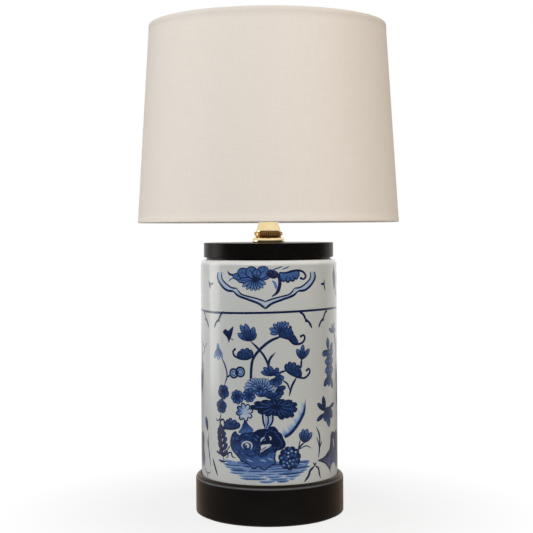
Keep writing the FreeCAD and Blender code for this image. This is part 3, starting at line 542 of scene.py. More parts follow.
BASE_LACQUER = BlackLacquer("base_lacquer")
CAP_LACQUER = BlackLacquer("cap_lacquer", sheen=0.1)
PORCELAIN = Porcelain("painted_porcelain")
BRASS = Metal("polished_brass", (0.94, 0.82, 0.53), (0.74, 0.54, 0.24))
HARP_BRASS = Metal("plated_harp", (0.80, 0.60, 0.30), (0.58, 0.40, 0.18), Polish.PLATED)
STEEL = Metal("zinc_steel", (0.62, 0.62, 0.60), (0.40, 0.41, 0.42), Polish.SATIN)
ALUMINIUM = Metal("bulb_aluminium", (0.82, 0.82, 0.81), (0.62, 0.62, 0.62), Polish.PLATED)
BAKELITE = Moulded("black_phenolic", (0.020, 0.018, 0.017), (0.010, 0.009, 0.009), (0.25, 0.40))
FIBRE = Moulded("pressed_fibre", (0.30, 0.27, 0.22), (0.20, 0.17, 0.13), (0.75, 0.9), 900.0, 0.0001)
# the liner's material, with a painted glow
STYRENE = Liner("liner_styrene", (0.82, 0.81, 0.78), (0.76, 0.75, 0.72), (0.45, 0.6), 600.0)
BULB_WHITE = Moulded("bulb_housing", (0.80, 0.80, 0.78), (0.76, 0.76, 0.75), (0.38, 0.5))
BULB_FROST = Moulded("bulb_frosted", (0.86, 0.86, 0.84), (0.82, 0.82, 0.81), (0.28, 0.36), 3500.0)
LINEN = Linen("ivory_linen")
FELT = Felt("black_felt")


@dataclass(frozen=True)
class Corner:
    """One corner of a turned section: radius and height, and the radius that rounds it."""

    r: float
    z: float
    fillet: float = 0.0


def rounded(corners: Sequence[Corner], closed: bool) -> list[Vector]:
    """Draws the line along a section, with an arc at each rounded corner.

    Args:
        corners: The section's corners in order.
        closed: Whether the last corner joins the first.

    Returns:
        Points in the XZ plane.
    """
    spots = [Vector((c.r, 0.0, c.z)) for c in corners]
    points: list[Vector] = []
    for i, corner in enumerate(corners):
        at_end = not closed and i in (0, len(corners) - 1)
        if corner.fillet == 0.0 or at_end:
            points.append(spots[i])
            continue
        back = (spots[i - 1] - spots[i]).normalized()
        onward = (spots[(i + 1) % len(spots)] - spots[i]).normalized()
        half = back.angle(onward) / 2
        centre = spots[i] + (back + onward).normalized() * (corner.fillet / math.sin(half))
        start = spots[i] + back * (corner.fillet / math.tan(half)) - centre
        sweep = math.copysign(math.pi - 2 * half, onward.cross(back).y)
        steps = max(2, math.ceil(abs(sweep) / ARC_STEP))
        for k in range(steps + 1):
            points.append(centre + Matrix.Rotation(sweep * k / steps, 3, "Y") @ start)
    return points


def deselect() -> None:
    """Leaves edit mode and deselects every object."""
    if bpy.context.mode != "OBJECT":
        bpy.ops.object.mode_set(mode="OBJECT")
    bpy.ops.object.select_all(action="DESELECT")


def activate(*objects: Object) -> None:
    """Selects objects alone and makes the last one active.

    Args:
        *objects: The objects.
    """
    deselect()
    for obj in objects:
        obj.select_set(True)
    bpy.context.view_layer.objects.active = objects[-1]


def edit() -> None:
    """Opens the active object in edit mode, with all its points selected."""
    bpy.ops.object.mode_set(mode="EDIT")
    bpy.ops.mesh.select_mode(type="VERT")
    bpy.ops.mesh.select_all(action="SELECT")


def begin(name: str, add: Callable[..., Any], **sizes: Any) -> Object:
    """Adds a primitive at the origin and opens it in edit mode, all selected.

    Args:
        name: The new object's name.
        add: The operator that adds the primitive.
        **sizes: Its sizes.

    Returns:
        The new object.
    """
    deselect()
    add(**sizes)
    made = bpy.context.object
    made.name = made.data.name = name
    edit()
    return made


def end(obj: Object, crease: float = math.radians(35)) -> Object:
    """Leaves edit mode and shades an object smooth.

    Args:
        obj: The object that was edited.
        crease: The angle from which an edge stays sharp.

    Returns:
        The same object.
    """
    activate(obj)
    bpy.ops.object.shade_smooth_by_angle(angle=crease)
    return obj


def shift(*by: float) -> None:
    """Moves what is selected."""
    bpy.ops.transform.translate(value=by)


def turn(angle: float, axis: str) -> None:
    """Turns what is selected about an axis through the origin."""
    bpy.ops.transform.rotate(value=angle, orient_axis=axis, center_override=(0, 0, 0))


def weld() -> None:
    """Merges points that meet, drops loose ones and turns the faces outwards, in edit mode."""
    bpy.ops.mesh.select_all(action="SELECT")
    bpy.ops.mesh.remove_doubles(threshold=WELD)
    bpy.ops.mesh.delete_loose()
    bpy.ops.mesh.normals_make_consistent(inside=False)


def modify(obj: Object, kind: str, **settings: Any) -> None:
    """Adds a modifier and applies it.

    Args:
        obj: What it acts on.
        kind: The modifier's type.
        **settings: The modifier's settings.
    """
    activate(obj)
    added = obj.modifiers.new(kind.lower(), kind)
    for key, value in settings.items():
        setattr(added, key, value)
    bpy.ops.object.modifier_apply(modifier=added.name)


def cut(obj: Object, cutter: Object) -> None:
    """Takes a cutter's shape out of an object, and removes the cutter."""
    modify(obj, "BOOLEAN", operation="DIFFERENCE", object=cutter, solver="EXACT")
    bpy.data.objects.remove(cutter)


def draw_section(name: str, points: Sequence[Vector]) -> Object:
    """Draws a line by extruding one vertex from each point to the next.

    Args:
        name: The new object's name.
        points: What the line goes through.

    Returns:
        The new object, in edit mode.
    """
    made = begin(name, bpy.ops.mesh.primitive_plane_add, size=MM)
    bpy.ops.mesh.merge(type="CENTER")
    shift(*points[0])
    for here, there in pairwise(points):
        bpy.ops.mesh.extrude_vertices_move(TRANSFORM_OT_translate={"value": there - here})
    return made


def turned(name: str, corners: Sequence[Corner], closed: bool = True, steps: int = 144) -> Object:
    """Turns a section round the lamp's axis, as on a lathe.

    Args:
        name: The new object's name.
        corners: The section, from the inside round.
        closed: Whether the section is a closed outline.
        steps: How many facets go round.

    Returns:
        The turned object, at the origin.
    """
    points = rounded(corners, closed)
    if closed:
        points.append(points[0])
    made = draw_section(name, points)
    bpy.ops.mesh.select_all(action="SELECT")
    bpy.ops.mesh.spin(steps=steps, angle=math.tau, center=(0, 0, 0), axis=(0, 0, 1))
    weld()
    return end(made)


def heading(spot: Vector) -> float:
    """The angle of a spot round the lamp's axis, from the front."""
    return math.atan2(spot.x, -spot.y)


def corners_round(mesh: bpy.types.Mesh) -> Iterator[tuple[int, Vector, Vector, float]]:
    """Goes through the corners of all faces of a mesh round the lamp's axis.

    Args:
        mesh: The mesh.

    Yields:
        The corner's loop, its point, the middle of its face and the point's angle round the axis,
        which doesn't jump within a face.
    """
    for face in mesh.polygons:
        middle = face.center
        seam = heading(middle)
        for loop in face.loop_indices:
            spot = mesh.vertices[mesh.loops[loop].vertex_index].co
            angle = heading(spot)
            yield loop, spot, middle, angle + math.tau * round((seam - angle) / math.tau)


def span_of(node: str) -> tuple[float, float, float]:
    """A round node's outer radius, and the heights of its foot and top."""
    low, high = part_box(node)
    return max(-low.x, high.x), low.z, high.z


def settle(obj: Object, finish: Finish, body: str, slot: str, *nodes: str) -> None:
    """Finishes a new piece: its material, the body it rides on and the nodes it stands for.

    Args:
        obj: The piece.
        finish: Its finish.
        body: The body that carries it.
        slot: The record's material slot; not used.
        *nodes: The nodes that it replaces.
    """
    obj.data.materials.clear()
    obj.data.materials.append(finish.material())
    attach(obj, body)
    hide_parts(*nodes)
    LOG.info("%s: %d faces on %s", obj.name, len(obj.data.polygons), body)


def dress(finish: Finish, *nodes: str) -> None:
    """Gives a finish to CAD nodes that stay.

    Args:
        finish: The finish.
        *nodes: The nodes' names.
    """
    for node in nodes:
        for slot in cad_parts[node].material_slots:
            slot.material = finish.material()
        LOG.info("%s: dressed in %s", node, finish.name)


@dataclass
class Stand:
    """The black turned base, its felt and the fittings under it."""

    shoulder_slope: float = 1.5 * MM
    shoulder_round: float = 5.0 * MM
    foot_round: float = 1.5 * MM
    seat_clear: float = 1.0 * MM
    lip: float = 0.1 * MM
    lip_ease: float = 0.05 * MM
    well_radius: float = 35.0 * MM
    well_depth: float = 24.0 * MM
    bushing_clear: float = 0.1 * MM
    flange_width: float = 3.0 * MM
    flange_depth: float = 1.4 * MM
    bore_sides: int = 48
    overcut: float = 10.0 * MM
    facets: int = 180
    felt_sides: int = 144
    felt_rings: tuple[float, ...] = (2.0 * MM, 12.0 * MM, 24.0 * MM)
    felt_edge: float = 0.5 * MM
    felt_corner: float = math.radians(50)
    felt_crease: float = math.radians(60)

    def build(self) -> None:
        """Makes the base and the felt, and dresses the fittings."""
        self.base()
        self.felt()
        dress(BAKELITE, "cord_bushing")
        dress(STEEL, "rod_nut_bottom", "rod_washer_bottom", "center_rod")

    def base(self) -> None:
        """The turned base, with the well below, the vase's seat above and the cord's hole."""
        radius, foot, top = span_of("base_plinth")
        vase_radius, seat, _ = span_of("vase_body")
        rod = span_of("center_rod")[0]
        inside = vase_radius + self.seat_clear
        made = turned("base_turned", [
            Corner(rod, foot + self.well_depth),
            Corner(self.well_radius, foot + self.well_depth),
            Corner(self.well_radius, foot, self.lip_ease),
            Corner(radius, foot, self.foot_round),
            Corner(radius, top - self.shoulder_slope, self.shoulder_round),
            Corner(inside + self.lip, top, self.lip_ease),
            Corner(inside, top, self.lip_ease),
            Corner(inside, seat),
            Corner(rod, seat),
        ], steps=self.facets)
        self.bore_for_cord(made)
        settle(made, BASE_LACQUER, "lamp_body", "black_wood", "base_plinth")

    def bore_for_cord(self, base: Object) -> None:
        """Cuts the bushing's flanged hole through the back of the base.

        Args:
            base: The turned base.
        """
        low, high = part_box("cord_bushing")
        flange = high.x + self.bushing_clear
        stop = high.y + self.overcut
        sleeve_hole = (flange - self.flange_width, self.well_radius - MM)
        flange_hole = (flange, high.y - self.flange_depth)
        for radius, start in (sleeve_hole, flange_hole):
            cutter = begin("cord_cutter", bpy.ops.mesh.primitive_cylinder_add,
                           vertices=self.bore_sides, radius=radius, depth=stop - start)
            turn(math.pi / 2, "X")
            shift(0, (stop + start) / 2, (low.z + high.z) / 2)
            cut(base, cutter)
        end(base)

    def felt(self) -> None:
        """The felt disc under the base, its edge softly pressed."""
        radius, foot, top = span_of("base_felt")
        made = begin("felt_pad", bpy.ops.mesh.primitive_cylinder_add, vertices=self.felt_sides,
                     radius=radius, depth=top - foot)
        shift(0, 0, (foot + top) / 2)
        bpy.ops.mesh.select_all(action="DESELECT")
        bpy.ops.mesh.select_mode(type="FACE")
        bpy.ops.mesh.select_face_by_sides(number=self.felt_sides)
        for inset in self.felt_rings:
            bpy.ops.mesh.inset(thickness=inset, use_individual=True)
        end(made, self.felt_crease)
        modify(made, "BEVEL", width=self.felt_edge, segments=3, limit_method="ANGLE",
               angle_limit=self.felt_corner)
        settle(made, FELT, "lamp_body", "felt", "base_felt")


@dataclass
class Cap:
    """The black turned cap that closes the vase's mouth."""

    rim_height: float = 15.5 * MM
    overhang: float = 3.0 * MM
    edge_round: float = 0.8 * MM
    mouth_clear: float = 0.6 * MM
    mouth_radius: float = 56.0 * MM
    facets: int = 180

    def build(self) -> None:
        """Turns the cap."""
        radius, foot, top = span_of("vase_cap")
        rod = span_of("center_rod")[0]
        rim = top - self.rim_height
        neck = radius - self.overhang
        shoulder = span_of("vase_body")[2]
        spigot = self.mouth_radius - self.mouth_clear
        made = turned("cap_turned", [
            Corner(rod, foot),
            Corner(spigot, foot, self.edge_round),
            Corner(spigot, shoulder),
            Corner(neck, shoulder),
            Corner(neck, rim),
            Corner(radius, rim, self.edge_round),
            Corner(radius, top, self.edge_round),
            Corner(rod, top),
        ], steps=self.facets)
        settle(made, CAP_LACQUER, "lamp_body", "black_wood", "vase_cap")


Depth = Callable[[complex], float]
LOBE_LEAN = 0.12
LOBE_BREADTH = 0.3


def curve(points: Sequence[complex], closed: bool = False, step: float = 1.8) -> list[complex]:
    """Draws a smooth line through points.

    Args:
        points: What the line goes through.
        closed: Whether it returns to the first point.
        step: The distance between its spots.

    Returns:
        Its spots, without the first one again at the end of a closed line.
    """
    if closed:
        guides = [points[-1], *points, points[0], points[1]]
    else:
        guides = [2 * points[0] - points[1], *points, 2 * points[-1] - points[-2]]
    spots: list[complex] = []
    for a, b, c, d in zip(guides, guides[1:], guides[2:], guides[3:]):
        count = max(2, math.ceil(abs(c - b) / step))
        for t in (k / count for k in range(count)):
            bend = t * (2 * a - 5 * b + 4 * c - d + t * (3 * (b - c) + d - a))
            spots.append(b + t * (c - a + bend) / 2)
    return spots if closed else [*spots, points[-1]]


def joined(lines: Iterable[Sequence[complex]]) -> list[complex]:
    """The spots of smooth lines that follow each other along an outline."""
    return [spot for line in lines for spot in curve(line)[:-1]]


def lobes(crests: Sequence[complex], cusps: Sequence[complex]) -> list[list[complex]]:
    """Draws rounded lobes.

    Args:
        crests: The lobes' tops.
        cusps: Where they meet, one more than the crests.

    Returns:
        Each lobe as guide points from one cusp to the next.
    """
    made = []
    for crest, a, b in zip(crests, cusps, cusps[1:]):
        lean = ((a + b) / 2 - crest) * LOBE_LEAN
        side = (b - a) * LOBE_BREADTH
        made.append([a, crest - side + lean, crest, crest + side + lean, b])
    return made


def dips(crests: Sequence[complex], centre: complex, depth: float) -> list[complex]:
    """The cusps between crests, drawn in towards a centre."""
    return [(a + b) / 2 + (centre - (a + b) / 2) * depth for a, b in pairwise(crests)]


def around(centre: complex, radius: float, count: int, turn: float = 0.0) -> list[complex]:
    """Points evenly round a circle; turn is the first one's heading in degrees."""
    angles = (math.radians(turn) + math.tau * k / count for k in range(count))
    return [centre + cmath.rect(radius, angle) for angle in angles]


def fade(start: complex, reach: complex, near: float, far: float) -> Depth:
    """Mixes ink that runs from one depth to another and is level beyond.

    Args:
        start: Where the ink is near.
        reach: The way from there to where it is far.
        near: The first depth.
        far: The last depth.

    Returns:
        The depth of ink at any spot.
    """

    def depth(spot: complex) -> float:
        """The ink at a spot."""
        share = ((spot - start) * reach.conjugate()).real / abs(reach) ** 2
        return near + (far - near) * min(1.0, max(0.0, share))

    return depth


@dataclass(frozen=True)
class Patch:
    """A painted area of the wall: its outline, its depth of ink and its share of violet."""

    outline: list[complex]
    depth: Depth
    violet: float

    def moved(self, by: float) -> "Patch":
        """The same patch further across."""
        outline = [spot + by for spot in self.outline]
        return Patch(outline, lambda spot: self.depth(spot - by), self.violet)


@dataclass
class Brush:
    """Brushwork on the unrolled wall.

    Points are complex numbers in millimetres: across from the front's middle, and up from the foot
    as the imaginary part. A later patch covers an earlier one.
    """

    patches: list[Patch] = field(default_factory=list)
    violet: float = 0.0
    line_ink: float = 0.97
    dry_edge: float = 0.82
    edge_width: float = 1.4
    swell_rate: float = 3.0

    def wash(
        self, outline: Sequence[complex], near: float, far: float, start: complex, stop: complex
    ) -> None:
        """Fills an outline with ink that runs from near at a start to far at a stop."""
        depth = fade(start, stop - start, near, far)
        self.patches.append(Patch(list(outline), depth, self.violet))

    def dot(self, centre: complex, radius: float, ink: float) -> None:
        """A round touch of the brush."""
        self.wash(around(centre, radius, 10), ink, ink * self.dry_edge, centre, centre + radius)

    def stroke(
        self,
        points: Sequence[complex],
        width: float,
        ink: float | None = None,
        tips: tuple[float, float] = (0.3, 0.3),
        step: float = 1.8,
    ) -> None:
        """One stroke of the brush, deeper along its middle.

        Args:
            points: What it goes through.
            width: Its greatest width.
            ink: Its depth of ink, or that of the outlines.
            tips: The share of the width that its ends start from.
            step: The distance between its spots.
        """
        core = self.line_ink if ink is None else ink
        path = curve(points, step=step)
        last = len(path) - 1
        sides = []
        for i, spot in enumerate(path):
            onward = path[min(i + 1, last)] - path[max(i - 1, 0)]
            along = self.swell_rate * i / last
            swell = min(1.0, tips[0] + along, tips[1] + self.swell_rate - along)
            sides.append(1j * onward / abs(onward) * width * swell / 2)
        for (p, a), (q, b) in pairwise(zip(path, sides)):
            for one, two in ((a, b), (-a, -b)):
                depth = fade((p + q) / 2, (one + two) / 2, core, core * self.dry_edge)
                self.patches.append(Patch([p, q, q + two, p + one], depth, self.violet))

    def strokes(
        self,
        lines: Iterable[Sequence[complex]],
        width: float,
        ink: float | None = None,
        tips: tuple[float, float] = (0.3, 0.3),
    ) -> None:
        """Several strokes of one width and ink."""
        for line in lines:
            self.stroke(line, width, ink, tips)

    def ring(self, centre: complex, radius: float, width: float, ink: float | None = None) -> None:
        """A stroke round a circle."""
        points = around(centre, radius, 8)
        self.stroke([*points, points[0]], width, ink, (0.8, 0.8))

    def petal(
        self,
        base: complex,
        tip: complex,
        width: float,
        near: float = 0.92,
        far: float = 0.36,
        line: float = 1.0,
    ) -> None:
        """A petal or a leaf: a wash between two outlines.

        Args:
            base: Where it grows from.
            tip: Its other end.
            width: Its greatest width.
            near: The ink at its base.
            far: The ink at its tip.
            line: The width of its outlines.
        """
        axis = tip - base
        side = 1j * axis / abs(axis) * width / 2
        profile = ((0.0, 0.0), (0.3, 0.72), (0.62, 1.0), (0.9, 0.55), (1.0, 0.0))
        left, right = (
            [base + axis * s + side * (w * sign) for s, w in profile] for sign in (1, -1)
        )
        self.wash(curve(left) + curve(right)[-2:0:-1], near, far, base, tip)
        self.strokes((left, right), line)

    def fan(
        self,
        base: complex,
        tips: Iterable[complex],
        width: float,
        near: float = 0.92,
        far: float = 0.36,
    ) -> None:
        """Petals from one base."""
        for tip in tips:
            self.petal(base, tip, width, near, far)

    def clover(self, centre: complex, radius: float, turn: float) -> None:
        """A five-petalled blossom with a dark eye."""
        self.fan(centre, around(centre, radius, 5, turn), radius * 0.95, 0.95, 0.6)
        self.dot(centre, radius * 0.2, 1.0)

    def bud(self, base: complex, tips: Sequence[complex], width: float) -> None:
        """An opening bud with a vein in each petal."""
        self.fan(base, tips, width, 0.95, 0.42)
        self.veins(base, tips, (0.15, 0.7), 0.8, 0.95)

    def veins(
        self,
        heart: complex,
        tips: Iterable[complex],
        shares: tuple[float, float],
        width: float,
        ink: float,
        ends: tuple[float, float] = (0.3, 0.3),
    ) -> None:
        """Straight strokes from a heart towards tips, over a share of the way."""
        for tip in tips:
            self.stroke([heart + (tip - heart) * share for share in shares], width, ink, ends)

    def lobed(
        self, edge: Sequence[Sequence[complex]], back: Sequence[complex], near: float, far: float
    ) -> None:
        """A wash inside a lobed edge and a smooth back, with the edge outlined.

        Args:
            edge: The lobes, in order.
            back: The rest of the outline.
            near: The ink in the middle.
            far: The ink at the edge.
        """
        rim = joined(edge)
        outline = [*rim, *back]
        middle = sum(outline) / len(outline)
        self.wash(outline, near, far, middle, rim[len(rim) // 2])
        self.strokes(edge, self.edge_width, 0.97, (0.7, 0.7))

    def scalloped(
        self, crests: Sequence[complex], heart: complex, depth: float, near: float, far: float
    ) -> list[complex]:
        """A leaf or a flower with lobes all round.

        Args:
            crests: The lobes' tops.
            heart: Its middle.
            depth: How far the cusps are drawn in.
            near: The ink in the middle.
            far: The ink at the edge.

        Returns:
            The cusps, with the first one again at the end.
        """
        cusps = dips([crests[-1], *crests, crests[0]], heart, depth)
        self.lobed(lobes(crests, cusps), [], near, far)
        return cusps

    def curled_leaf(
        self,
        spine: Sequence[complex],
        crests: Sequence[complex],
        hook: Sequence[complex],
        near: float = 0.80,
        far: float = 0.56,
    ) -> None:
        """A scalloped leaf that rolls up in a hook.

        Args:
            spine: Its smooth edge, from the stalk on.
            crests: Its lobes, from the stalk on.
            hook: The rolled end, beyond the spine.
            near: The ink in its middle.
            far: The ink at its edge.
        """
        middle = sum(spine) / len(spine)
        cusps = [spine[0], *dips(crests, middle, 0.2), spine[-1]]
        self.lobed(lobes(crests, cusps), curve(spine)[::-1], near, far)
        for cusp in cusps[1:-1]:
            self.stroke([cusp, cusp * 0.45 + middle * 0.55], 0.9, 0.97, (0.9, 0.1))
        self.stroke([*spine, *hook], 2.3, 0.98, (0.5, 0.7))
        self.dot(hook[-1], 1.5, 0.97)

    def cloud(self, centre: complex, radius: float, count: int, turn: float) -> None:
        """A pale blossom with a cloud-like outline and a short vein from each cusp."""
        cusps = self.scalloped(around(centre, radius, count, turn), centre, 0.24, 0.14, 0.45)
        self.veins(centre, cusps[:-1], (1.0, 0.45), 1.0, 0.8, (0.9, 0.2))


@dataclass
class Pattern(Brush):
    """Half of the wall's painting: a wide garden panel, a narrow side panel and a band above."""

    front: float = -3.5
    seam: float = 52.3
    side: float = 105.7
    cut: float = -71.35
    half_turn: float = 229.336
    band_height: float = 178.4

    def paint(self) -> list[Patch]:
        """Paints it all, from the back forwards.

        Returns:
            The patches, the last one on top.
        """
        self.band()
        self.cartouche(self.front, 1.0)
        self.cartouche(self.side, 0.34)
        self.upper_flower()
        self.corner_brackets()
        self.water()
        self.rock()
        self.rock_plants()
        self.stems()
        self.cluster()
        self.lotus()
        self.left_branch()
        self.right_garden()
        self.side_garden()
        return [*self.patches, *self.beyond_the_cut()]

    def beyond_the_cut(self) -> list[Patch]:
        """Copies what runs over either end to the other end, so that the pattern repeats.

        Returns:
            The copies.
        """
        copies = []
        for patch in self.patches:
            across = [spot.real for spot in patch.outline]
            if min(across) < self.cut:
                copies.append(patch.moved(self.half_turn))
            if max(across) > self.cut + self.half_turn:
                copies.append(patch.moved(-self.half_turn))
        return copies

    def band(self) -> None:
        """The line under the shoulder's band, a little uneven, level where the pattern repeats."""
        rises = ((0, 0.0), (28, 0.3), (70, 1.2), (120, 2.4), (160, 2.6), (195, 1.2), (214, 0.4))
        points = [complex(self.cut + across, self.band_height + rise) for across, rise in rises]
        after = [point + self.half_turn for point in points[:2]]
        points = [points[-1] - self.half_turn, *points, *after]
        self.stroke(points, 2.4, 0.98, (1.0, 1.0))

    @staticmethod
    def placed(line: Sequence[complex], middle: float, share: float) -> list[complex]:
        """A line drawn about an upright, stretched and set there; a negative share mirrors it."""
        return [complex(middle + share * spot.real, spot.imag) for spot in line]

    def cartouche(self, middle: float, share: float) -> None:
        """A double-lined lobed frame that hangs from the shoulder, pale blue between its lines.

        Args:
            middle: Where its point hangs.
            share: Its width, as a share of the wide one's.
        """
        outer = (0+183.8j, 7+189j, 18+193j, 29+196.8j, 34.5+201.2j)
        outer_lobe = (34.5+201.2j, 42.8+202.1j, 50.8+207.5j, 55.7+214.5j, 54.8+220.5j)
        inner = (0+191j, 8+193.8j, 17+196j, 25.5+198.5j, 30.5+204.2j)
        inner_lobe = (30.5+204.2j, 37+205j, 44.3+209.3j, 49.3+214.3j, 49.3+220.5j)
        for sign in (1, -1):
            drawn = (outer, outer_lobe, inner, inner_lobe)
            lines = [self.placed(line, middle, sign * share) for line in drawn]
            sides = [curve(line) for line in lines]
            band = sides[0] + sides[1][1:] + sides[3][::-1] + sides[2][-2::-1]
            self.wash(band, 0.10, 0.17, lines[0][0], lines[1][-1])
            for line, width in zip(lines, (2.5, 2.5, 1.7, 1.7)):
                self.stroke(line, width, 0.95, (0.7, 0.5))

    def upper_flower(self) -> None:
        """The open flower and rolled leaf in the wide cartouche, and the sprigs beside it."""
        heart = -14+214j
        self.stroke([-37+217.6j, -42.4+218.6j, -45+221.8j], 2.4, 0.9, (0.9, 0.2))
        self.stroke([-36+215j, -41+213.6j, -44+210.8j], 1.5, 0.55, (0.9, 0.1))
        back = (
            (-39.4+217j, 8.4), (-33+222.4j, 11.4), (3.2+219.4j, 8.0), (-0.8+225.6j, 11.6),
            (-21+226.2j, 12.0), (-33+211.6j, 5.4), (-11+224j, 8.6),
        )
        for tip, width in back:
            self.petal(heart, tip, width, 0.36, 0.60, 1.3)
            self.veins(heart, [tip], (0.3, 0.8), 1.0, 0.9)
        down = (
            -28+206j, -23.4+203j, -18.4+201.8j, -13.6+201.6j, -9.4+202.6j, -5.6+204.6j,
            -2.6+208.4j,
        )
        self.fan(heart, down, 3.6, 0.62, 0.30)
        self.veins(heart, around(heart, 5.6, 9, 14), (0.0, 1.0), 1.3, 1.0, (1.0, 0.2))
        self.dot(heart, 2.6, 1.0)
        self.stroke([3.6+212j, 6.6+209j, 7.6+203.6j], 3.0, 0.42)
        self.violet = 0.45
        self.petal(-3+219.6j, 9.4+216.6j, 6.4, 0.99, 0.9)
        stalk = (0.5+222.6j, 6.8+220.4j, 10.8+215j, 11.2+207.6j, 8.4+200j, 3+196j)
        self.stroke(stalk, 3.7, 0.95, (0.8, 0.3))
        self.violet = 0.0
        self.stroke([2.6+222.6j, 9+224.8j, 14.6+226.8j], 1.4, 0.62)
        self.stroke([13.6+223.4j, 18+225j, 21.6+226.8j], 1.3, 0.62)
        spine = (11+220.6j, 17.6+220j, 24.8+221.8j, 32+222.2j)
        crests = (13.4+212.6j, 19.6+210.4j, 25.6+211.6j, 30.8+215j)
        hook = (37.2+220.4j, 40+216.2j, 37.4+213.2j, 34.4+214.2j)
        self.curled_leaf(spine, crests, hook, 0.5, 0.62)
        self.stroke([66.4+212j, 66.6+206j, 68.4+200j], 2.0)
        self.stroke([60.4+207.4j, 66.6+207.6j], 2.4, None, (0.1, 0.9))
        self.stroke([-75+211j, -73.6+206.8j, -72+202.8j], 2.6)
        self.stroke([-73.4+206.6j, -66+209j], 2.4, 0.9, (0.9, 0.1))
        self.violet = 0.3
        self.petal(88.6+226.6j, 95+200j, 6.4, 0.8, 0.9)
        self.violet = 0.0

    def corner_brackets(self) -> None:
        """Small brackets where the panels meet: hanging under the band, and twigs at the foot."""
        leg = (19.4+179.6j, 15.4+177j, 13.2+173j, 12.4+171j)
        foot = (12.4+171j, 8.4+168.6j, 4.6+162.4j)
        ends = ((self.cut + 1.6, 1), (self.cut + self.half_turn, -1))
        for middle, sign in ((self.seam, 1), (self.seam, -1), *ends):
            lines = (self.placed(line, middle, sign) for line in (leg, foot))
            self.strokes(lines, 2.5, 0.98, (0.7, 0.3))
            self.dot(complex(middle + sign * 11.8, 170.6), 1.9, 0.97)
        fork = 50.6+20.4j
        self.stroke([fork, 44.5+16.4j, 42.3+11.3j, 37+5.4j], 2.8)
        self.stroke([fork, 55.4+17.6j, 57.1+11.3j, 59+6.6j], 2.2)
        self.strokes(([fork, 48.6+24.4j], [fork, 52.4+24j]), 1.7)
        self.stroke([-69+26.4j, -65.3+18.6j, -60.5+9j], 2.4)

    def stems(self) -> None:
        """The tall arching stems with the buds and rolled leaves that they carry."""
        tall = (-18.9+108j, -18.5+121j, -16.7+132j, -10.2+141.2j, 0.4+150.3j, 11+155j)
        self.stroke(tall, 2.9, None, (0.9, 0.7))
        self.stroke([-19.5+151j, -11.3+143.2j, -5.4+136j, -1.8+128.5j, -1+122j], 2.4)
        self.stroke([-1+122j, 0.6+132j, 6.8+139.4j], 2.5, 0.92, (0.9, 0.1))
        self.stroke([8+116.5j, 12.5+119j, 17.5+120.4j], 2.2)
        self.stroke([28.9+113.5j, 23.4+104j, 20.6+94j], 2.4)
        self.stroke([13.5+110.5j, 18.6+107j, 21.2+100.5j], 1.8)
        tips = (-33.4+158j, -13.6+159.5j, -30.4+167j, -15.4+165.2j, -24.6+168.6j)
        self.bud(-19+150.4j, tips, 5.6)
        asters = (1+158.4j, 0.2+163.6j, 4.4+168.4j, 9.2+170.4j, 13.4+170.8j, 17+171j, 20.6+169.6j)
        self.fan(12.5+159.5j, asters, 4.0, 0.75, 0.36)
        spine = (10.4+155j, 19.8+152.6j, 25.4+147.6j, 31+146.9j)
        crests = (12+160.5j, 17.5+164j, 22.4+165.4j, 24.6+159.6j, 28+153.6j)
        self.curled_leaf(spine, crests, (36+148.6j, 38.5+152.6j, 36.8+156j, 34+154.8j))
        spine = (-17+134.6j, -22+132.4j, -28+132j, -33.5+133.3j)
        crests = (-17.6+140.4j, -22.4+143j, -28.4+142j, -32.6+138.4j)
        self.curled_leaf(spine, crests, (-37.4+135.4j, -38.8+139.2j, -36.6+141.6j))
        spine = (17+120.2j, 22+117j, 27.7+114.2j, 33.5+112.4j)
        crests = (16.8+126j, 21+128.8j, 26.5+127.9j, 31.5+124.6j, 33.8+118.6j)
        self.stroke([33.4+121j, 34.2+127j, 34.6+131.5j], 2.3)
        self.bud(34.6+130.6j, (29.2+142.2j, 44.2+141.6j, 36.3+146.4j), 4.6)
        hook = (38+112j, 42.4+114.6j, 44.6+118.6j, 42.5+121.3j, 40.7+119.6j)
        self.curled_leaf(spine, crests, hook)
        wings = (
            -51.8+158.6j, -48+162.2j, -44.8+160.4j, -41+163.4j, -38+165j, -39.4+158j,
            -41.4+153j, -44+149j, -46.4+153.6j,
        )
        self.wash(curve(wings, closed=True), 0.98, 0.72, -43.5+156j, -38+166j)
        self.stroke([-43.5+154j, -44+148j], 1.3)
        self.stroke([-42+153j, -38+150.8j], 1.1)

    def left_branch(self) -> None:
        """The thin branch at the left with its drooping bud and small blossoms."""
        self.stroke([-55+134j, -49+124.5j, -46.4+114j, -50.4+103j], 1.8, 0.8)
        self.petal(-58.3+137j, -59.6+147j, 4.2, 0.6, 0.3, 0.5)
        for tip, width in ((-65.6+130.6j, 4.2), (-52.4+131j, 4.0), (-58.6+129j, 4.8)):
            self.petal(-58.4+143j, tip, width, 0.72, 0.22, 0.5)
        self.stroke([-46.4+112.4j, -42.4+115j], 2.0)
        for centre, radius in ((-38+117j, 4.6), (-30.4+118.8j, 4.8)):
            self.dot(centre, radius, 0.3)
            self.ring(centre, radius, 2.0)
            self.ring(centre, radius * 0.5, 1.0, 0.7)
        self.dot(-34.3+117.8j, 2.2, 0.97)
        self.clover(-51.6+97j, 7.8, 54)
        self.stroke([-54.8+76j, -56+70j, -60+66.4j, -63+69j], 1.4)
        self.clover(-54.4+82j, 7.4, 90)
        spine = (-32.4+61.4j, -39+60j, -46+59.5j, -51.6+60j)
        crests = (-31.8+65.6j, -36.2+68.6j, -42.4+70.4j, -47.6+67.4j)
        self.curled_leaf(spine, crests, (-56+62.8j, -55.6+67.4j, -51.4+68.4j, -50.2+65.4j))

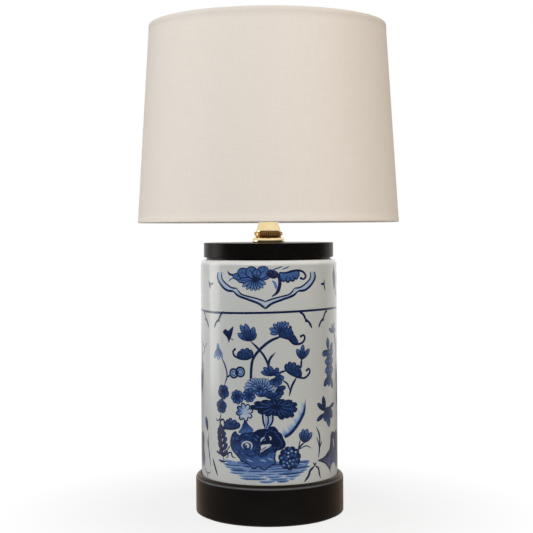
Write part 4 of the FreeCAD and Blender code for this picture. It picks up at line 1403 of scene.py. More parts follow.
    def cluster(self) -> None:
        """The crowded blossoms in the middle of the garden."""
        self.fan(6+100j, (17+104j, 15+97j, 11+92.5j), 5.2, 0.95, 0.7)
        outer, inner = -10+101j, -10+100j
        for angle in map(math.radians, range(-8, 190, 15)):
            tip = outer + cmath.rect(11.5 + 5.5 * abs(math.cos(angle)), angle)
            self.petal(outer, tip, 4.8, 0.66, 0.20, 0.8)
        for angle in map(math.radians, range(5, 180, 25)):
            self.petal(inner, inner + cmath.rect(8.4, angle), 4.0, 0.85, 0.22, 0.9)
        self.fan(5+113j, (15.5+113j, 13+107j, 2+106j, 9+103.5j), 5.6, 0.98, 0.5)
        self.fan(5+115.5j, (-8.6+119.6j, -6+124j, 0+125.6j, 9+123.6j, 11.6+118j), 4.4, 0.95, 0.5)
        for centre, radius, turn in ((-34+93j, 7.6, 10), (-21+95j, 7.2, 30)):
            self.fan(centre, around(centre, radius, 8, turn), radius * 0.66, 0.9, 0.4)
            self.ring(centre, radius * 0.3, 0.8)
        self.fan(-6+94j, (-14+99j, -9+101j, -3+101.5j, 3+99j), 4.6, 0.9, 0.34)
        self.fan(2+92j, (-4+97j, 2+99.5j, 8+98.6j, 13+95j), 4.2, 0.98, 0.6)

    def lotus(self) -> None:
        """The dark scalloped leaf under the blossoms, its pale stalks and a cloud-edged flower."""
        for across, ink in ((-6.0, 0.92), (-3.4, 0.3), (-1.2, 0.8), (1.0, 0.25), (3.0, 0.92)):
            stalk = ((across * 1.15, 76), (across * 1.05, 69), (-2.2 + 0.3 * across, 61.5))
            self.stroke([complex(*spot) for spot in stalk], 2.0, ink, (0.9, 0.7))
        heart = 7+84j
        crests = (
            -19+83.2j, -14+88.4j, -5+90.4j, 4+91.4j, 13+91j, 22+89.8j, 28.4+86j, 28.6+79.8j,
            24.6+73.4j, 18.8+72.4j, 12.6+71.2j, 5+75.4j, -2+74.8j, -9.6+77.2j,
        )
        self.scalloped(crests, heart, 0.14, 0.98, 0.80)
        self.veins(heart, crests, (0.25, 0.84), 0.9, 0.68)
        self.cloud(-26+78j, 9.0, 8, 12)
        eye = (-31+74j, -26+72.4j, -21+74j, -26+75.4j)
        self.wash(curve(eye, closed=True), 0.06, 0.12, -26+74j, -22+74j)
        self.stroke([-26+70.4j, -25.4+66j], 2.0)

    def rock(self) -> None:
        """The pierced garden rock: deep on the right, washed out at the left and the foot."""
        peak = (-32.8+56.4j, -29.7+61.5j, -27.9+65.7j, -25+70.4j, -22+66j, -16.3+60j, -21+55j)
        self.wash(curve(peak, closed=True), 0.46, 0.82, -23+57j, -26+68j)
        west = (
            -31.3+30j, -35.9+34.5j, -40.3+38.9j, -42.3+45.3j, -41.5+50.4j, -39.5+55.2j,
            -36.3+57.8j,
        )
        north = (-36.3+57.8j, -33.7+54.1j, -30.9+53.9j, -25.6+56.1j, -20.5+56.8j, -15.4+57.8j)
        crown = (-15.4+57.8j, -11.1+60.3j, -6+60.9j, -1.5+62.1j, 3.8+63.5j, 7+61.2j, 9.5+57.7j)
        east = (9.5+57.7j, 12.4+55.2j, 13.9+51j, 16.1+46j, 15.4+42j, 12+39.9j, 7.9+39j, 6+36j)
        foot = (6+36j, 5.2+31.2j, 6+27j, 0.5+24j, -5.4+19.5j, -11.1+22.8j, -16.5+20.6j, -21.1+24.4j)
        heel = (-21.1+24.4j, -25.6+26.8j, -30+27.7j, -31.3+30j)
        outline = joined((west, north, crown, east, foot, heel))
        self.wash(outline, 0.80, 0.55, -24+52j, -14+25j)
        shade = (
            -17.8+54.6j, -16.7+51.1j, -14+46.1j, -11.3+42.2j, -12.4+38.1j, -9.7+35.2j,
            -5.4+34j, -2.2+36.8j, 1.5+39.3j, 6+37.6j,
        )
        core = joined((shade, east[::-1], crown[::-1]))
        self.wash(core, 0.92, 1.0, -15+46j, 2+50j)
        for k, spot in enumerate(curve(shade, step=2.6)[1:-1]):
            self.stroke([spot + 1.6, spot - 3.6 - 1.2j * math.sin(1.9 * k)], 2.6, 0.88, (0.9, 0.1))
        swirl_eye = -23.4+43.6j
        for k in range(44):
            spoke = cmath.rect(6.4 + 11.5 * math.sqrt(k / 44), 2.4 * k)
            spot = swirl_eye + complex(spoke.real * 0.95, spoke.imag * 0.8)
            if spot.real < -12 and not 29 < spot.imag < 33.5:
                drift = 2.4j * spoke / abs(spoke)
                ink = (0.95, 0.62, 0.88)[k % 3]
                self.stroke([spot - drift, spot + drift], 1.5, ink, (0.3, 0.1))
        for k in range(16):
            spoke = cmath.rect(8.6 + 1.6 * math.sin(5.1 * k), math.tau * k / 16)
            spot = 1.5+49.4j + complex(spoke.real * 1.2, spoke.imag)
            drift = 2.2j * spoke / abs(spoke)
            self.stroke([spot - drift, spot + drift], 1.3, 0.76, (0.3, 0.1))
        flank = (-42+46j, -36+47j, -32+43j, -33+37j, -36+34.6j, -40.3+38.9j)
        self.wash(curve(flank, closed=True), 0.80, 0.60, -40+44j, -33+40j)
        self.strokes((west, north, crown, east[:5], foot, heel), 1.3, 0.99, (0.8, 0.6))
        self.strokes((
            (-38+54j, -36+49j, -37.6+44j), (-28+54j, -30+50j, -34+46.6j), (-19.6+56j, -18+50j),
        ), 1.5, 0.94)
        self.strokes((
            (-27+36j, -20+33.4j, -14+34.6j), (-17+40j, -13+36.4j, -7+32.6j), (-35+40j, -30+35.4j),
        ), 1.6, 0.92)
        self.strokes((
            (-24+30j, -17+27.6j), (-10+30j, -3+28.4j), (-2+31.6j, 3.6+29.6j),
        ), 1.6, 0.34)
        swirl = (
            -27.4+40.6j, -29+43.8j, -27.3+46.7j, -23.3+48j, -19.5+46.7j, -18+43.7j, -19.4+40.2j,
        )
        self.stroke(swirl, 1.5, 0.04, (0.3, 0.3))
        self.stroke([-25.4+44.8j, -23+45.4j, -21.8+43.4j, -23.4+42j], 1.9, 0.03, (0.7, 0.5))
        self.stroke([-26.6+42.2j, -25+40.2j, -22.4+39.8j], 1.2, 0.98)
        hole = (-8.9+44.4j, -6+45.3j, 0.6+46j, 1.7+44.7j, -1.1+42.3j, -4.2+40.7j, -6.6+38.6j)
        self.wash(curve([*hole, -9.8+37.4j, -8.5+40.6j], closed=True), 0.02, 0.05, -6+41j, -2+44j)
        self.stroke([-8.6+38.6j, -5.8+41.6j, -2.6+43.2j], 1.1, 0.85)
        self.stroke([-7+38.2j, -4.4+40.4j], 1.0, 0.85)
        self.stroke([-8.9+48.3j, -7.7+51.3j, -4.7+52.9j], 1.5, 0.05)
        self.stroke([-0.4+53.9j, 1.3+52.2j, 0.9+49.9j], 1.5, 0.05)
        self.stroke([-6+49.6j, -3.4+50.6j], 1.1, 0.4)

    def rock_plants(self) -> None:
        """What grows about the rock: fern, terrace, feather leaf, tulip and berry flower."""
        self.violet = 0.55
        self.stroke([-55.4+56j, -54.4+44j, -53+36j, -51.6+27j], 2.0)
        for height, reach in ((30, 6.4), (36, 7.4), (42, 7.6), (48, 6.8), (53, 5.2)):
            root = complex(-51.6 - 0.14 * (height - 27), height)
            for side in (-1, 1):
                self.petal(root, root + reach * (0.85 * side + 1.15j), 4.0, 0.98, 0.7)
        self.petal(-55.2+54j, -55.6+63.6j, 5.0, 0.98, 0.66)
        self.violet = 0.0
        steps = (-49+29.6j, -46+30.4j, -45.4+34.4j, -41.4+35.4j, -40.4+31.6j, -35.8+30.4j)
        self.stroke(steps, 1.7)
        self.stroke([-47.4+36.4j, -44.8+40.2j, -42.4+42.6j], 1.4)
        self.stroke([-62.4+34.8j, -59.4+33.8j, -57+32j], 2.2)
        self.stroke([-59+26.4j, -54+25j, -49+25.4j], 2.2)
        arc = curve((15.4+52.6j, 22+56.4j, 28.8+63.6j, 34.1+71.3j, 37.7+79.2j, 38.9+91j), step=3.4)
        for k, (here, there) in enumerate(pairwise(arc[:-2])):
            reach = (-4.4+6.4j) * (1.0 + 0.3 * math.sin(2.3 * k))
            self.wash([here, there, there + reach, here + reach], 0.46, 0.0, here, here + reach)
        self.stroke(arc, 3.4, 0.9, (0.8, 0.0))
        self.stroke([37.7+46j, 33.4+43j, 30+38j], 2.0)
        self.stroke([32.6+50j, 31.4+44j, 30+38.6j], 1.2)
        self.stroke([46+39j, 39+42.2j, 30.4+38.8j], 1.2)
        self.bud(37.6+45.4j, (32.4+56.6j, 47+55.2j, 35.6+59.8j, 41+59.6j), 5.4)
        heart = 21+31j
        self.scalloped(around(heart, 11.6, 11, 8), heart, 0.10, 1.0, 0.92)
        for k in range(1, 21):
            spot = heart + cmath.rect(2.15 * math.sqrt(k), 2.4 * k)
            self.dot(spot, 1.9, 0.72)
            self.dot(spot + (-0.3+0.4j), 0.9, 0.42 + 0.26 * math.sin(5.0 * k))

    def water(self) -> None:
        """Long broken strokes of water under the rock, narrowing downwards."""
        pool = (-46+25j, -20+28j, 38+27j, 40+22j, 34+17.4j, 22+14j, -20+14.4j, -35+17.6j, -43+21j)
        self.wash(curve(pool, closed=True), 0.42, 0.26, 0+26j, 0+14j)
        rows = ((25.6, -58, 44), (23.0, -55, 45), (20.4, -50, 44), (17.8, -46, 41), (15.2, -44, 38))
        rows += ((12.6, -36, 33), (10.0, -31, 27), (7.6, -14, 20))
        for row, (height, left, right) in enumerate(rows):
            across = left + 3.0 * (row % 2)
            while across < right - 4:
                length = 15.0 + 17.0 * abs(math.sin(7.3 * row + 0.37 * across))
                stop = min(across + length, right)
                ink = 0.50 + 0.13 * math.sin(3.1 * row + 0.9 * across)
                sway = 0.6 * math.sin(0.3 * across + row)
                ends = complex(across, height), complex(stop, height + 0.4)
                self.stroke([ends[0], sum(ends) / 2 + sway * 1j, ends[1]], 3.0, ink * 0.8, step=4.0)
                ripple = [ends[0] + 2 - 0.5j, sum(ends) / 2 + (sway - 0.5) * 1j, ends[1] - 3 - 0.4j]
                self.stroke(ripple, 1.3, ink * 1.4, step=4.0)
                across = stop - 2.0 + 4.5 * abs(math.sin(1.7 * row + across))

    def right_garden(self) -> None:
        """What shows of the side panel from the front: sprig, honeycomb fruit, flower, grass."""
        self.stroke([52.8+60.5j, 57.6+50j, 57.2+36j, 55.6+28j], 2.2)
        self.stroke([53.2+50j, 56+43j, 57.2+37j], 1.4)
        self.stroke([61.4+45j, 58.8+40j, 57.2+36j], 1.4)
        self.petal(67+74j, 63.6+91j, 5.8, 0.98, 0.75)
        self.petal(67+75j, 54.4+84.4j, 4.8, 0.98, 0.75)
        self.petal(67.5+73j, 53.4+66.4j, 4.4, 0.98, 0.75)
        self.fan(70+79j, (67+64j, 83+67j, 75.4+57.4j), 8.4, 0.95, 0.55)
        self.veins(70.6+77j, (69+66j, 80+68j, 75+61j), (0.0, 1.0), 1.4, 0.98)
        self.petal(73+77j, 88+81j, 3.2, 0.95, 0.7)
        self.violet = 0.35
        self.stroke([88+156j, 94+146j, 98+130j, 99+114j, 97+101j], 6.0, 0.86)
        self.petal(104+98j, 99.6+77j, 7.6, 0.85, 0.6)
        self.fan(88+155j, (75.4+160j, 82+164.6j, 95.6+159j, 90+166j), 3.6, 0.8, 0.45)
        self.violet = 0.0
        for row in range(6):
            for cell in range(3 - row % 2):
                spot = complex(70.6 + 5.8 * cell + 2.9 * (row % 2), 135.4 - 4.6 * row)
                self.dot(spot, 2.9, 0.46 + 0.2 * (row % 2))
                self.ring(spot, 2.7, 1.4, 0.95)
        self.fan(77+112j, (65+101j, 84+97j, 74+100j), 6.2, 0.98, 0.6)
        self.petal(74+137j, 72.4+151j, 5.6, 0.95, 0.45)
        self.petal(72+136j, 62.6+134.4j, 6.2, 0.85, 0.4)
        self.petal(78+137j, 84+145j, 5.2, 0.9, 0.4)

    def side_garden(self) -> None:
        """The rest of the side panel: a broad rock in plum tones, a branch, blossoms and leaves."""
        self.violet = 0.85
        rock = (54.8+25.4j, 65+26.6j, 71+30.4j, 76+34j, 78+40j, 78.4+49j, 83+51.4j, 89+49j)
        rock += (95+51.5j, 101+47j, 105+40j, 112+45j, 119+41j, 126+46j, 133+51j, 140+45j)
        rock += (139+34j, 142+24j, 138+14j, 128+18j, 118+12j, 106+16j, 96+11j, 88+18j)
        rock += (81+17.4j, 76.4+12j, 71+17.4j, 66+21.4j)
        self.wash(curve(rock, closed=True), 0.86, 0.52, 80+48j, 84+14j)
        self.strokes((
            (78+46j, 82+36j, 78+24j), (92+48j, 90+36j, 94+22j), (112+43j, 110+30j, 114+18j),
        ), 1.5)
        self.strokes(((85+44j, 87+34j), (102+40j, 103+28j), (128+42j, 126+28j)), 2.2, 0.10)
        self.stroke([78.4+49j, 83+51.4j, 89+49j, 95+51.5j, 101+47j, 105+40j], 1.3)
        self.stroke([78.4+49j, 78+40j, 76+34j, 71+30.4j, 65+26.8j, 55+25.4j], 2.2)
        self.stroke([55+25.2j, 66+21.6j, 71+17.6j, 76.4+12j, 78+7j], 1.8)
        self.strokes((
            (82+45j, 79+35j, 72+27j), (84+30j, 80+22j, 79+16j), (74+31j, 68+24j),
        ), 2.0, 0.95)
        self.violet = 0.5
        branch = (133.3+84j, 134.8+100j, 138+116j, 134.6+130j, 142+139j, 132+148j, 135+160j)
        self.stroke(branch, 2.0, 0.7)
        trunk = (128.6+164j, 128+150j, 131+136j, 130+118j, 132+104j, 129+91j)
        self.stroke(trunk, 8.4, 0.52, (0.2, 0.3))
        self.stroke([spot - 2.6 for spot in trunk], 2.0, 0.95)
        self.stroke([142+139j, 149.6+146j], 1.3)
        self.violet = 0.0
        self.petal(150+53j, 145+68j, 6.4, 0.9, 0.6)
        self.strokes((
            (156.4+17j, 153.4+29j, 151.4+40j, 152.6+52j), (147.6+46j, 152.8+33j, 155.4+22j),
        ), 1.6)
        self.strokes(((139.8+13j, 149+9j, 156+11.6j), (149+9j, 148+4.8j)), 1.3)
        self.stroke([108+46j, 112+66j, 108+90j, 114+112j, 111+138j], 2.0)
        self.stroke([111+76j, 121+86j, 124+96j], 1.4)
        self.clover(125+102j, 7.6, 30)
        self.clover(106+97j, 7.0, 75)
        self.fan(111+140j, around(111+142j, 11, 11, 8), 5.0, 0.85, 0.36)
        self.dot(111+141j, 3.0, 1.0)
        self.fan(113+112j, (122+120j, 104+121j), 5.0, 0.9, 0.5)
        self.fan(110+62j, (101+70j, 119+68j), 5.0, 0.9, 0.5)
        self.fan(self.side + 212j, around(self.side + 212j, 7, 7, 12), 4.4, 0.85, 0.4)


@dataclass
class Vase:
    """The porcelain cylinder, with its painting in the mesh of the wall."""

    columns: int = 90
    shoulder_round: float = 5.0 * MM
    foot_round: float = 1.0 * MM
    mouth_width: float = 17.0 * MM
    lip_thick: float = 7.0 * MM
    wall: float = 6.0 * MM
    inner_round: float = 4.0 * MM
    foot_width: float = 7.0 * MM
    recess: float = 2.0 * MM
    floor: float = 7.0 * MM
    rod_clear: float = 2.0 * MM
    wall_share: float = 0.82
    first_column: float = math.radians(-56)
    lip_ease: float = 0.3 * MM
    nearly_round: float = 0.9999
    snap: float = 0.004
    facet_slack: float = 0.1 * MM
    skin: float = 0.02 * MM
    bake_margin: float = 0.01
    strip_start: float = 0.1
    strip_step: float = 0.4

    def build(self) -> None:
        """Paints the wall, turns the rest of the vase and joins the two."""
        self.radius, self.foot, self.top = span_of("vase_body")
        made = self.painted_wall(Pattern().paint())
        rest = self.turned_rest()
        activate(rest)
        turn(math.pi / self.columns, "Z")
        bpy.ops.object.transform_apply(location=False, rotation=True, scale=False)
        activate(rest, made)
        bpy.ops.object.join()
        edit()
        weld()
        end(made)
        self.unroll(made.data)
        self.true_normals(made.data)
        settle(made, PORCELAIN, "lamp_body", "porcelain", "vase_body")

    def heights(self) -> tuple[float, float]:
        """Where the straight wall starts and stops."""
        return self.foot + self.foot_round, self.top - self.shoulder_round

    def turned_rest(self) -> Object:
        """Turns everything but the straight wall: shoulder, mouth, inside, floor and foot.

        Returns:
            The rest of the vase, open where the wall goes.
        """
        low, high = self.heights()
        mouth = self.radius - self.mouth_width
        inside = self.radius - self.wall
        hole = span_of("center_rod")[0] + self.rod_clear
        ring = self.radius - self.foot_width
        recess = self.foot + self.recess
        return turned("vase_rest", [
            Corner(self.radius, high),
            Corner(self.radius, self.top, self.shoulder_round * self.nearly_round),
            Corner(mouth, self.top, self.lip_ease),
            Corner(mouth, self.top - self.lip_thick, self.lip_ease),
            Corner(inside, self.top - self.lip_thick, self.inner_round),
            Corner(inside, recess + self.floor, self.inner_round),
            Corner(hole, recess + self.floor),
            Corner(hole, recess),
            Corner(ring, recess),
            Corner(ring, self.foot, self.lip_ease),
            Corner(self.radius, self.foot, self.foot_round * self.nearly_round),
            Corner(self.radius, low),
        ], closed=False, steps=self.columns)

    def painted_wall(self, patches: Sequence[Patch]) -> Object:
        """Cuts the unrolled wall along every brush mark, then rolls it up twice round the axis.

        Args:
            patches: The painting of half the wall.

        Returns:
            The wall, with the attributes ink and violet on its corners.
        """
        spots, triangles = self.cut_plane(patches)
        LOG.info("painting: %d patches, %d triangles", len(patches), 2 * len(triangles))
        owners = self.owners(spots[triangles].mean(axis=1), patches)
        inks: list[float] = []
        violets: list[float] = []
        for triangle, owner in zip(triangles, owners):
            patch = patches[owner] if owner >= 0 else None
            for spot in spots[triangle]:
                inks.append(patch.depth(complex(spot)) if patch else 0.0)
                violets.append(patch.violet if patch else 0.0)
        points = []
        for half in (0.0, math.pi):
            for spot in spots:
                angle = spot.real * MM / self.radius + half
                across, forth = self.radius * math.sin(angle), self.radius * math.cos(angle)
                points.append((across, -forth, self.foot + spot.imag * MM))
        mesh = bpy.data.meshes.new("vase_painted")
        mesh.from_pydata(points, [], [*triangles.tolist(), *(triangles + len(spots)).tolist()])
        for name, values in (("ink", inks), ("violet", violets)):
            mesh.attributes.new(name, "FLOAT", "CORNER").data.foreach_set("value", values * 2)
        made = bpy.data.objects.new("vase_painted", mesh)
        bpy.context.collection.objects.link(made)
        return made

    def cut_plane(self, patches: Sequence[Patch]) -> tuple[np.ndarray, np.ndarray]:
        """Divides half of the unrolled wall along its columns and every brush mark.

        Args:
            patches: The painting of half the wall.

        Returns:
            The spots in millimetres, as complex numbers, and the triangles between them.
        """
        left = self.radius * self.first_column / MM
        width = math.pi * self.radius / MM
        bottom, top = ((height - self.foot) / MM for height in self.heights())
        coords: list[tuple[float, float]] = []
        edges: list[tuple[int, int]] = []
        for k in range(self.columns // 2 + 1):
            across = left + width * 2 * k / self.columns
            edges.append((len(coords), len(coords) + 1))
            coords += [(across, bottom), (across, top)]
        edges += [(k, k + 2) for k in range(len(coords) - 2)]
        for patch in patches:
            start = len(coords)
            coords += [(spot.real, spot.imag) for spot in patch.outline]
            ring = range(start, len(coords))
            edges += zip(ring, [*ring[1:], start])
        found, _, faces, *_ = delaunay_2d_cdt(coords, edges, [], 0, self.snap, False)
        spots = np.array([complex(*spot) for spot in found])
        triangles = np.array(faces)
        across = spots[triangles].mean(axis=1).real - left
        return spots, triangles[(across > 0) & (across < width)]

    @staticmethod
    def owners(centres: np.ndarray, patches: Sequence[Patch]) -> np.ndarray:
        """Which patch lies on top at each spot, or -1 where the wall is bare.

        Args:
            centres: The spots, as complex numbers.
            patches: The painting, from the back forwards.

        Returns:
            One number for each spot.
        """
        found = np.full(len(centres), -1)
        order = np.argsort(centres.real)
        across = centres.real[order]
        for index, patch in enumerate(patches):
            outline = np.array(patch.outline)
            start, stop = np.searchsorted(across, (outline.real.min(), outline.real.max()))
            near = order[start:stop]
            up = centres.imag[near]
            near = near[(up > outline.imag.min()) & (up < outline.imag.max())]
            spokes = outline[:, None] - centres[near]
            turns = np.angle(np.roll(spokes, -1, axis=0) / spokes).sum(axis=0)
            found[near[abs(turns) > math.pi]] = index
        return found

    def unroll(self, mesh: bpy.types.Mesh) -> None:
        """Lays the whole skin out flat for baking: the wall large, the rest in a strip above it.

        Args:
            mesh: The joined vase.
        """
        low, high = self.heights()
        layer = mesh.uv_layers.new(name="OFBake")
        for loop, spot, middle, angle in corners_round(mesh):
            gap = abs(math.hypot(middle.x, middle.y) - self.radius)
            if gap < self.facet_slack and low < middle.z < high:
                up = (spot.z - low) / (high - low) * self.wall_share
            else:
                reach = math.hypot(spot.x, spot.y) / self.radius
                level = (spot.z - self.foot) / (self.top - self.foot)
                share = self.strip_start + self.strip_step * (level + reach)
                up = self.wall_share + (1 - self.wall_share) * share
            across = angle / math.tau + 0.5
            layer.data[loop].uv = (self.bake_margin + (1 - 2 * self.bake_margin) * across, up)

    def true_normals(self, mesh: bpy.types.Mesh) -> None:
        """Makes the wall shade as a true cylinder whatever the brush marks cut it into.

        Args:
            mesh: The joined vase.
        """
        low, high = self.heights()
        normals = []
        for loop in mesh.loops:
            spot = mesh.vertices[loop.vertex_index].co
            on_wall = abs(math.hypot(spot.x, spot.y) - self.radius) < self.skin
            inside = low - self.skin / 2 < spot.z < high + self.skin / 2
            radial = Vector((spot.x, spot.y, 0)).normalized()
            normals.append(radial if on_wall and inside else Vector((0, 0, 0)))
        mesh.normals_split_custom_set(normals)


@dataclass
class Fittings:
    """The brass that shows between the cap and the shade: check ring, knurled ring and neck."""

    rod_clear: float = 0.3 * MM
    check_round: float = 3.4 * MM
    check_foot: float = 1.2 * MM
    band_height: float = 3.7 * MM
    foot_inset: float = 1.6 * MM
    chamfer: float = 0.5 * MM
    facets: int = 96
    teeth: int = 40
    rows_per_tooth: int = 4
    tooth: float = 0.6 * MM
    tooth_crease: float = math.radians(20)
    aged: Colour = (0.92, 0.58, 0.21)
    # painted shade: the dark colour in the grooves between the teeth, also used for the tarnish
    # clouds
    groove: Colour = (0.20, 0.080, 0.018)
    bead_height: float = 1.9 * MM
    bead_step: float = 0.7 * MM
    bead_ease: float = 0.2 * MM
    neck_top: float = 7.2 * MM
    edge_round: float = 0.6 * MM

    def build(self) -> None:
        """Turns the three pieces."""
        bore = span_of("center_rod")[0] + self.rod_clear
        self.check_ring(bore)
        self.knurled_ring(bore)
        self.neck(bore)

    def check_ring(self, bore: float) -> None:
        """The flat ring on the cap, with a full round shoulder.

        Args:
            bore: The radius of its hole.
        """
        radius, foot, top = span_of("check_ring")
        made = turned("check_turned", [
            Corner(bore, foot),
            Corner(radius, foot, self.check_foot),
            Corner(radius, top, self.check_round),
            Corner(bore, top),
        ], steps=self.facets)
        settle(made, BRASS, "lamp_body", "brass", "check_ring")

    def knurled_ring(self, bore: float) -> None:
        """The ring with a knurled band over a narrower foot.

        Args:
            bore: The radius of its hole.
        """
        radius, foot, top = span_of("knurled_ring")
        band = top - self.band_height
        step = radius - self.foot_inset
        made = turned("knurl_turned", [
            Corner(bore, foot),
            Corner(step, foot),
            Corner(step, band, self.chamfer),
            Corner(radius, band),
            Corner(radius, top - self.chamfer),
            Corner(radius - self.chamfer, top),
            Corner(bore, top),
        ], steps=self.rows_per_tooth * self.teeth)
        self.cut_teeth(made, radius)
        aged = Knurled("aged_brass", self.aged, self.groove, Polish.SATIN,
                       crest=radius, tooth=self.tooth)
        settle(made, aged, "lamp_body", "brass", "knurled_ring")

    def cut_teeth(self, ring: Object, radius: float) -> None:
        """Draws one row of the band's points in for each tooth, so that teeth stand between them.

        Args:
            ring: The turned ring.
            radius: The radius of its band.
        """
        edit()
        bpy.ops.mesh.select_all(action="DESELECT")
        bpy.ops.object.mode_set(mode="OBJECT")
        rows = self.rows_per_tooth * self.teeth
        for vertex in ring.data.vertices:
            spot = vertex.co
            row = round(math.atan2(spot.y, spot.x) / math.tau * rows)
            on_band = math.hypot(spot.x, spot.y) > radius - self.tooth
            vertex.select = row % self.rows_per_tooth == 0 and on_band
        bpy.ops.object.mode_set(mode="EDIT")
        share = 1 - self.tooth / radius
        bpy.ops.transform.resize(value=(share, share, 1), center_override=(0, 0, 0))
        end(ring, self.tooth_crease)

    def neck(self, bore: float) -> None:
        """The cone that narrows up to the socket, over a bead.

        Args:
            bore: The radius of its hole.
        """
        radius, foot, top = span_of("neck")
        bead = foot + self.bead_height
        made = turned("neck_turned", [
            Corner(bore, foot),
            Corner(radius, foot, self.edge_round),
            Corner(radius, bead, self.edge_round),
            Corner(radius - self.bead_step, bead, self.bead_ease),
            Corner(self.neck_top, top, self.edge_round),
            Corner(bore, top),
        ], steps=self.facets)
        settle(made, BRASS, "lamp_body", "brass", "neck")


@dataclass
class Shade:
    """The tapered drum of linen, rolled round a hoop at each end and turned in over the liner."""

    thick: float = 0.55 * MM
    roll: float = 2.2 * MM
    roll_share: float = 0.999
    fold_round: float = 0.9 * MM
    flap: float = 7.5 * MM
    flap_lean: float = 0.7 * MM
    flap_round: float = 0.6 * MM
    hem: float = 4.4 * MM
    hem_step: float = 0.22 * MM
    hem_slope: float = 0.4 * MM
    wall_step: float = 6.0 * MM
    steps: int = 240
    crease: float = math.radians(50)
    seam_share: float = 1.05
    arms: int = 3
    arm_half: float = 1.0 * MM
    notch: float = 2.0 * MM
    notch_sides: int = 20
    notch_length: float = 16.0 * MM
    arm_reach: float = 24.0 * MM

    def build(self) -> None:
        """Makes the linen and dresses what carries it."""
        self.bottom, self.top = (self.hoop(f"shade_ring_{end}") for end in ("bottom", "top"))
        self.along = (self.top - self.bottom).normalized()
        self.inward = Vector((-self.along.z, 0, self.along.x))
        self.linen()
        dress(STYRENE, "shade_liner")
        dress(HARP_BRASS, "harp_stud", "shade_spider", "shade_ring_top", "shade_ring_bottom")

    @staticmethod
    def hoop(node: str) -> Vector:
        """The middle of a hoop's wire, in the XZ plane."""
        radius, foot, top = span_of(node)
        return Vector((radius - (top - foot) / 2, 0, (foot + top) / 2))

    def corner(self, origin: Vector, along: float, inward: float, fillet: float = 0.0) -> Corner:
        """A corner placed from a hoop, along the wall and inwards from the hoop's middle."""
        spot = origin + self.along * along + self.inward * inward
        return Corner(spot.x, spot.z, fillet)

    def section(self) -> list[Corner]:
        """Lays out the linen's middle: flap, roll, hem, wall, hem, roll, flap.

        Returns:
            Corners from the bottom flap to the top one.
        """
        fold = self.roll + self.hem_step
        ends = []
        for origin, up in ((self.bottom, 1), (self.top, -1)):
            hem = self.hem - self.roll
            ends.append([
                self.corner(origin, up * self.flap, -self.flap_lean),
                self.corner(origin, up * self.roll, self.roll, self.flap_round),
                self.corner(origin, -up * self.roll, self.roll, self.roll * self.roll_share),
                self.corner(origin, -up * self.roll, -fold, self.fold_round),
                self.corner(origin, up * hem, -fold),
                self.corner(origin, up * (hem + self.hem_slope), -self.roll),
            ])
        low, high = ends[0][-1], ends[1][-1]
        count = math.ceil((high.z - low.z) / self.wall_step)
        shares = (k / count for k in range(1, count))
        wall = [
            Corner(low.r + (high.r - low.r) * share, low.z + (high.z - low.z) * share)
            for share in shares
        ]
        return [*ends[0], *wall, *ends[1][::-1]]

    def linen(self) -> None:
        """Turns the section, thickens it, notches it for the spider and maps the weave."""
        corners = self.section()
        made = turned("shade_linen", corners, False, self.steps)
        modify(made, "SOLIDIFY", thickness=self.thick, offset=0.0, use_even_offset=True)
        path = rounded(corners, False)
        lengths = [0.0, *accumulate((b - a).length for a, b in pairwise(path))]
        self.map_weave(made.data, path, lengths)
        self.cut_notches(made)
        end(made, self.crease)
        settle(made, LINEN, "shade", "linen", "shade_fabric")

    def map_weave(
        self, mesh: bpy.types.Mesh, path: Sequence[Vector], lengths: Sequence[float]
    ) -> None:
        """Lays the weave over the linen in metres: round the drum and along the section.

        Args:
            mesh: The thickened linen.
            path: The points of its section.
            lengths: How far along the section each of them lies.
        """
        spots = np.array([(spot.x, spot.z) for spot in path])
        ups: dict[tuple[int, int], float] = {}
        girth = (self.bottom.x + self.top.x) / 2
        layer = mesh.uv_layers.new(name="Weave")
        for loop, spot, _, angle in corners_round(mesh):
            reach = math.hypot(spot.x, spot.y)
            in_microns = (round(reach * 1e6), round(spot.z * 1e6))
            if in_microns not in ups:
                away = np.hypot(spots[:, 0] - reach, spots[:, 1] - spot.z)
                ups[in_microns] = lengths[away.argmin()]
            layer.data[loop].uv = (angle * girth, ups[in_microns])

    def cut_notches(self, linen: Object) -> None:
        """Cuts the turned-in linen where each arm of the spider comes through to the hoop.

        Args:
            linen: The thickened linen.
        """
        low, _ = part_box("shade_spider")
        lean = math.atan2(self.arm_reach, self.top.z - (low.z + self.arm_half))
        for k in range(self.arms):
            cutter = begin("notch_cutter", bpy.ops.mesh.primitive_cylinder_add,
                           vertices=self.notch_sides, radius=self.notch, depth=self.notch_length)
            shift(0, 0, -self.notch_length / 2)
            turn(-lean, "Y")
            shift(*self.top)
            turn(-(math.pi / 2 + math.tau * k / self.arms), "Z")
            cut(linen, cutter)


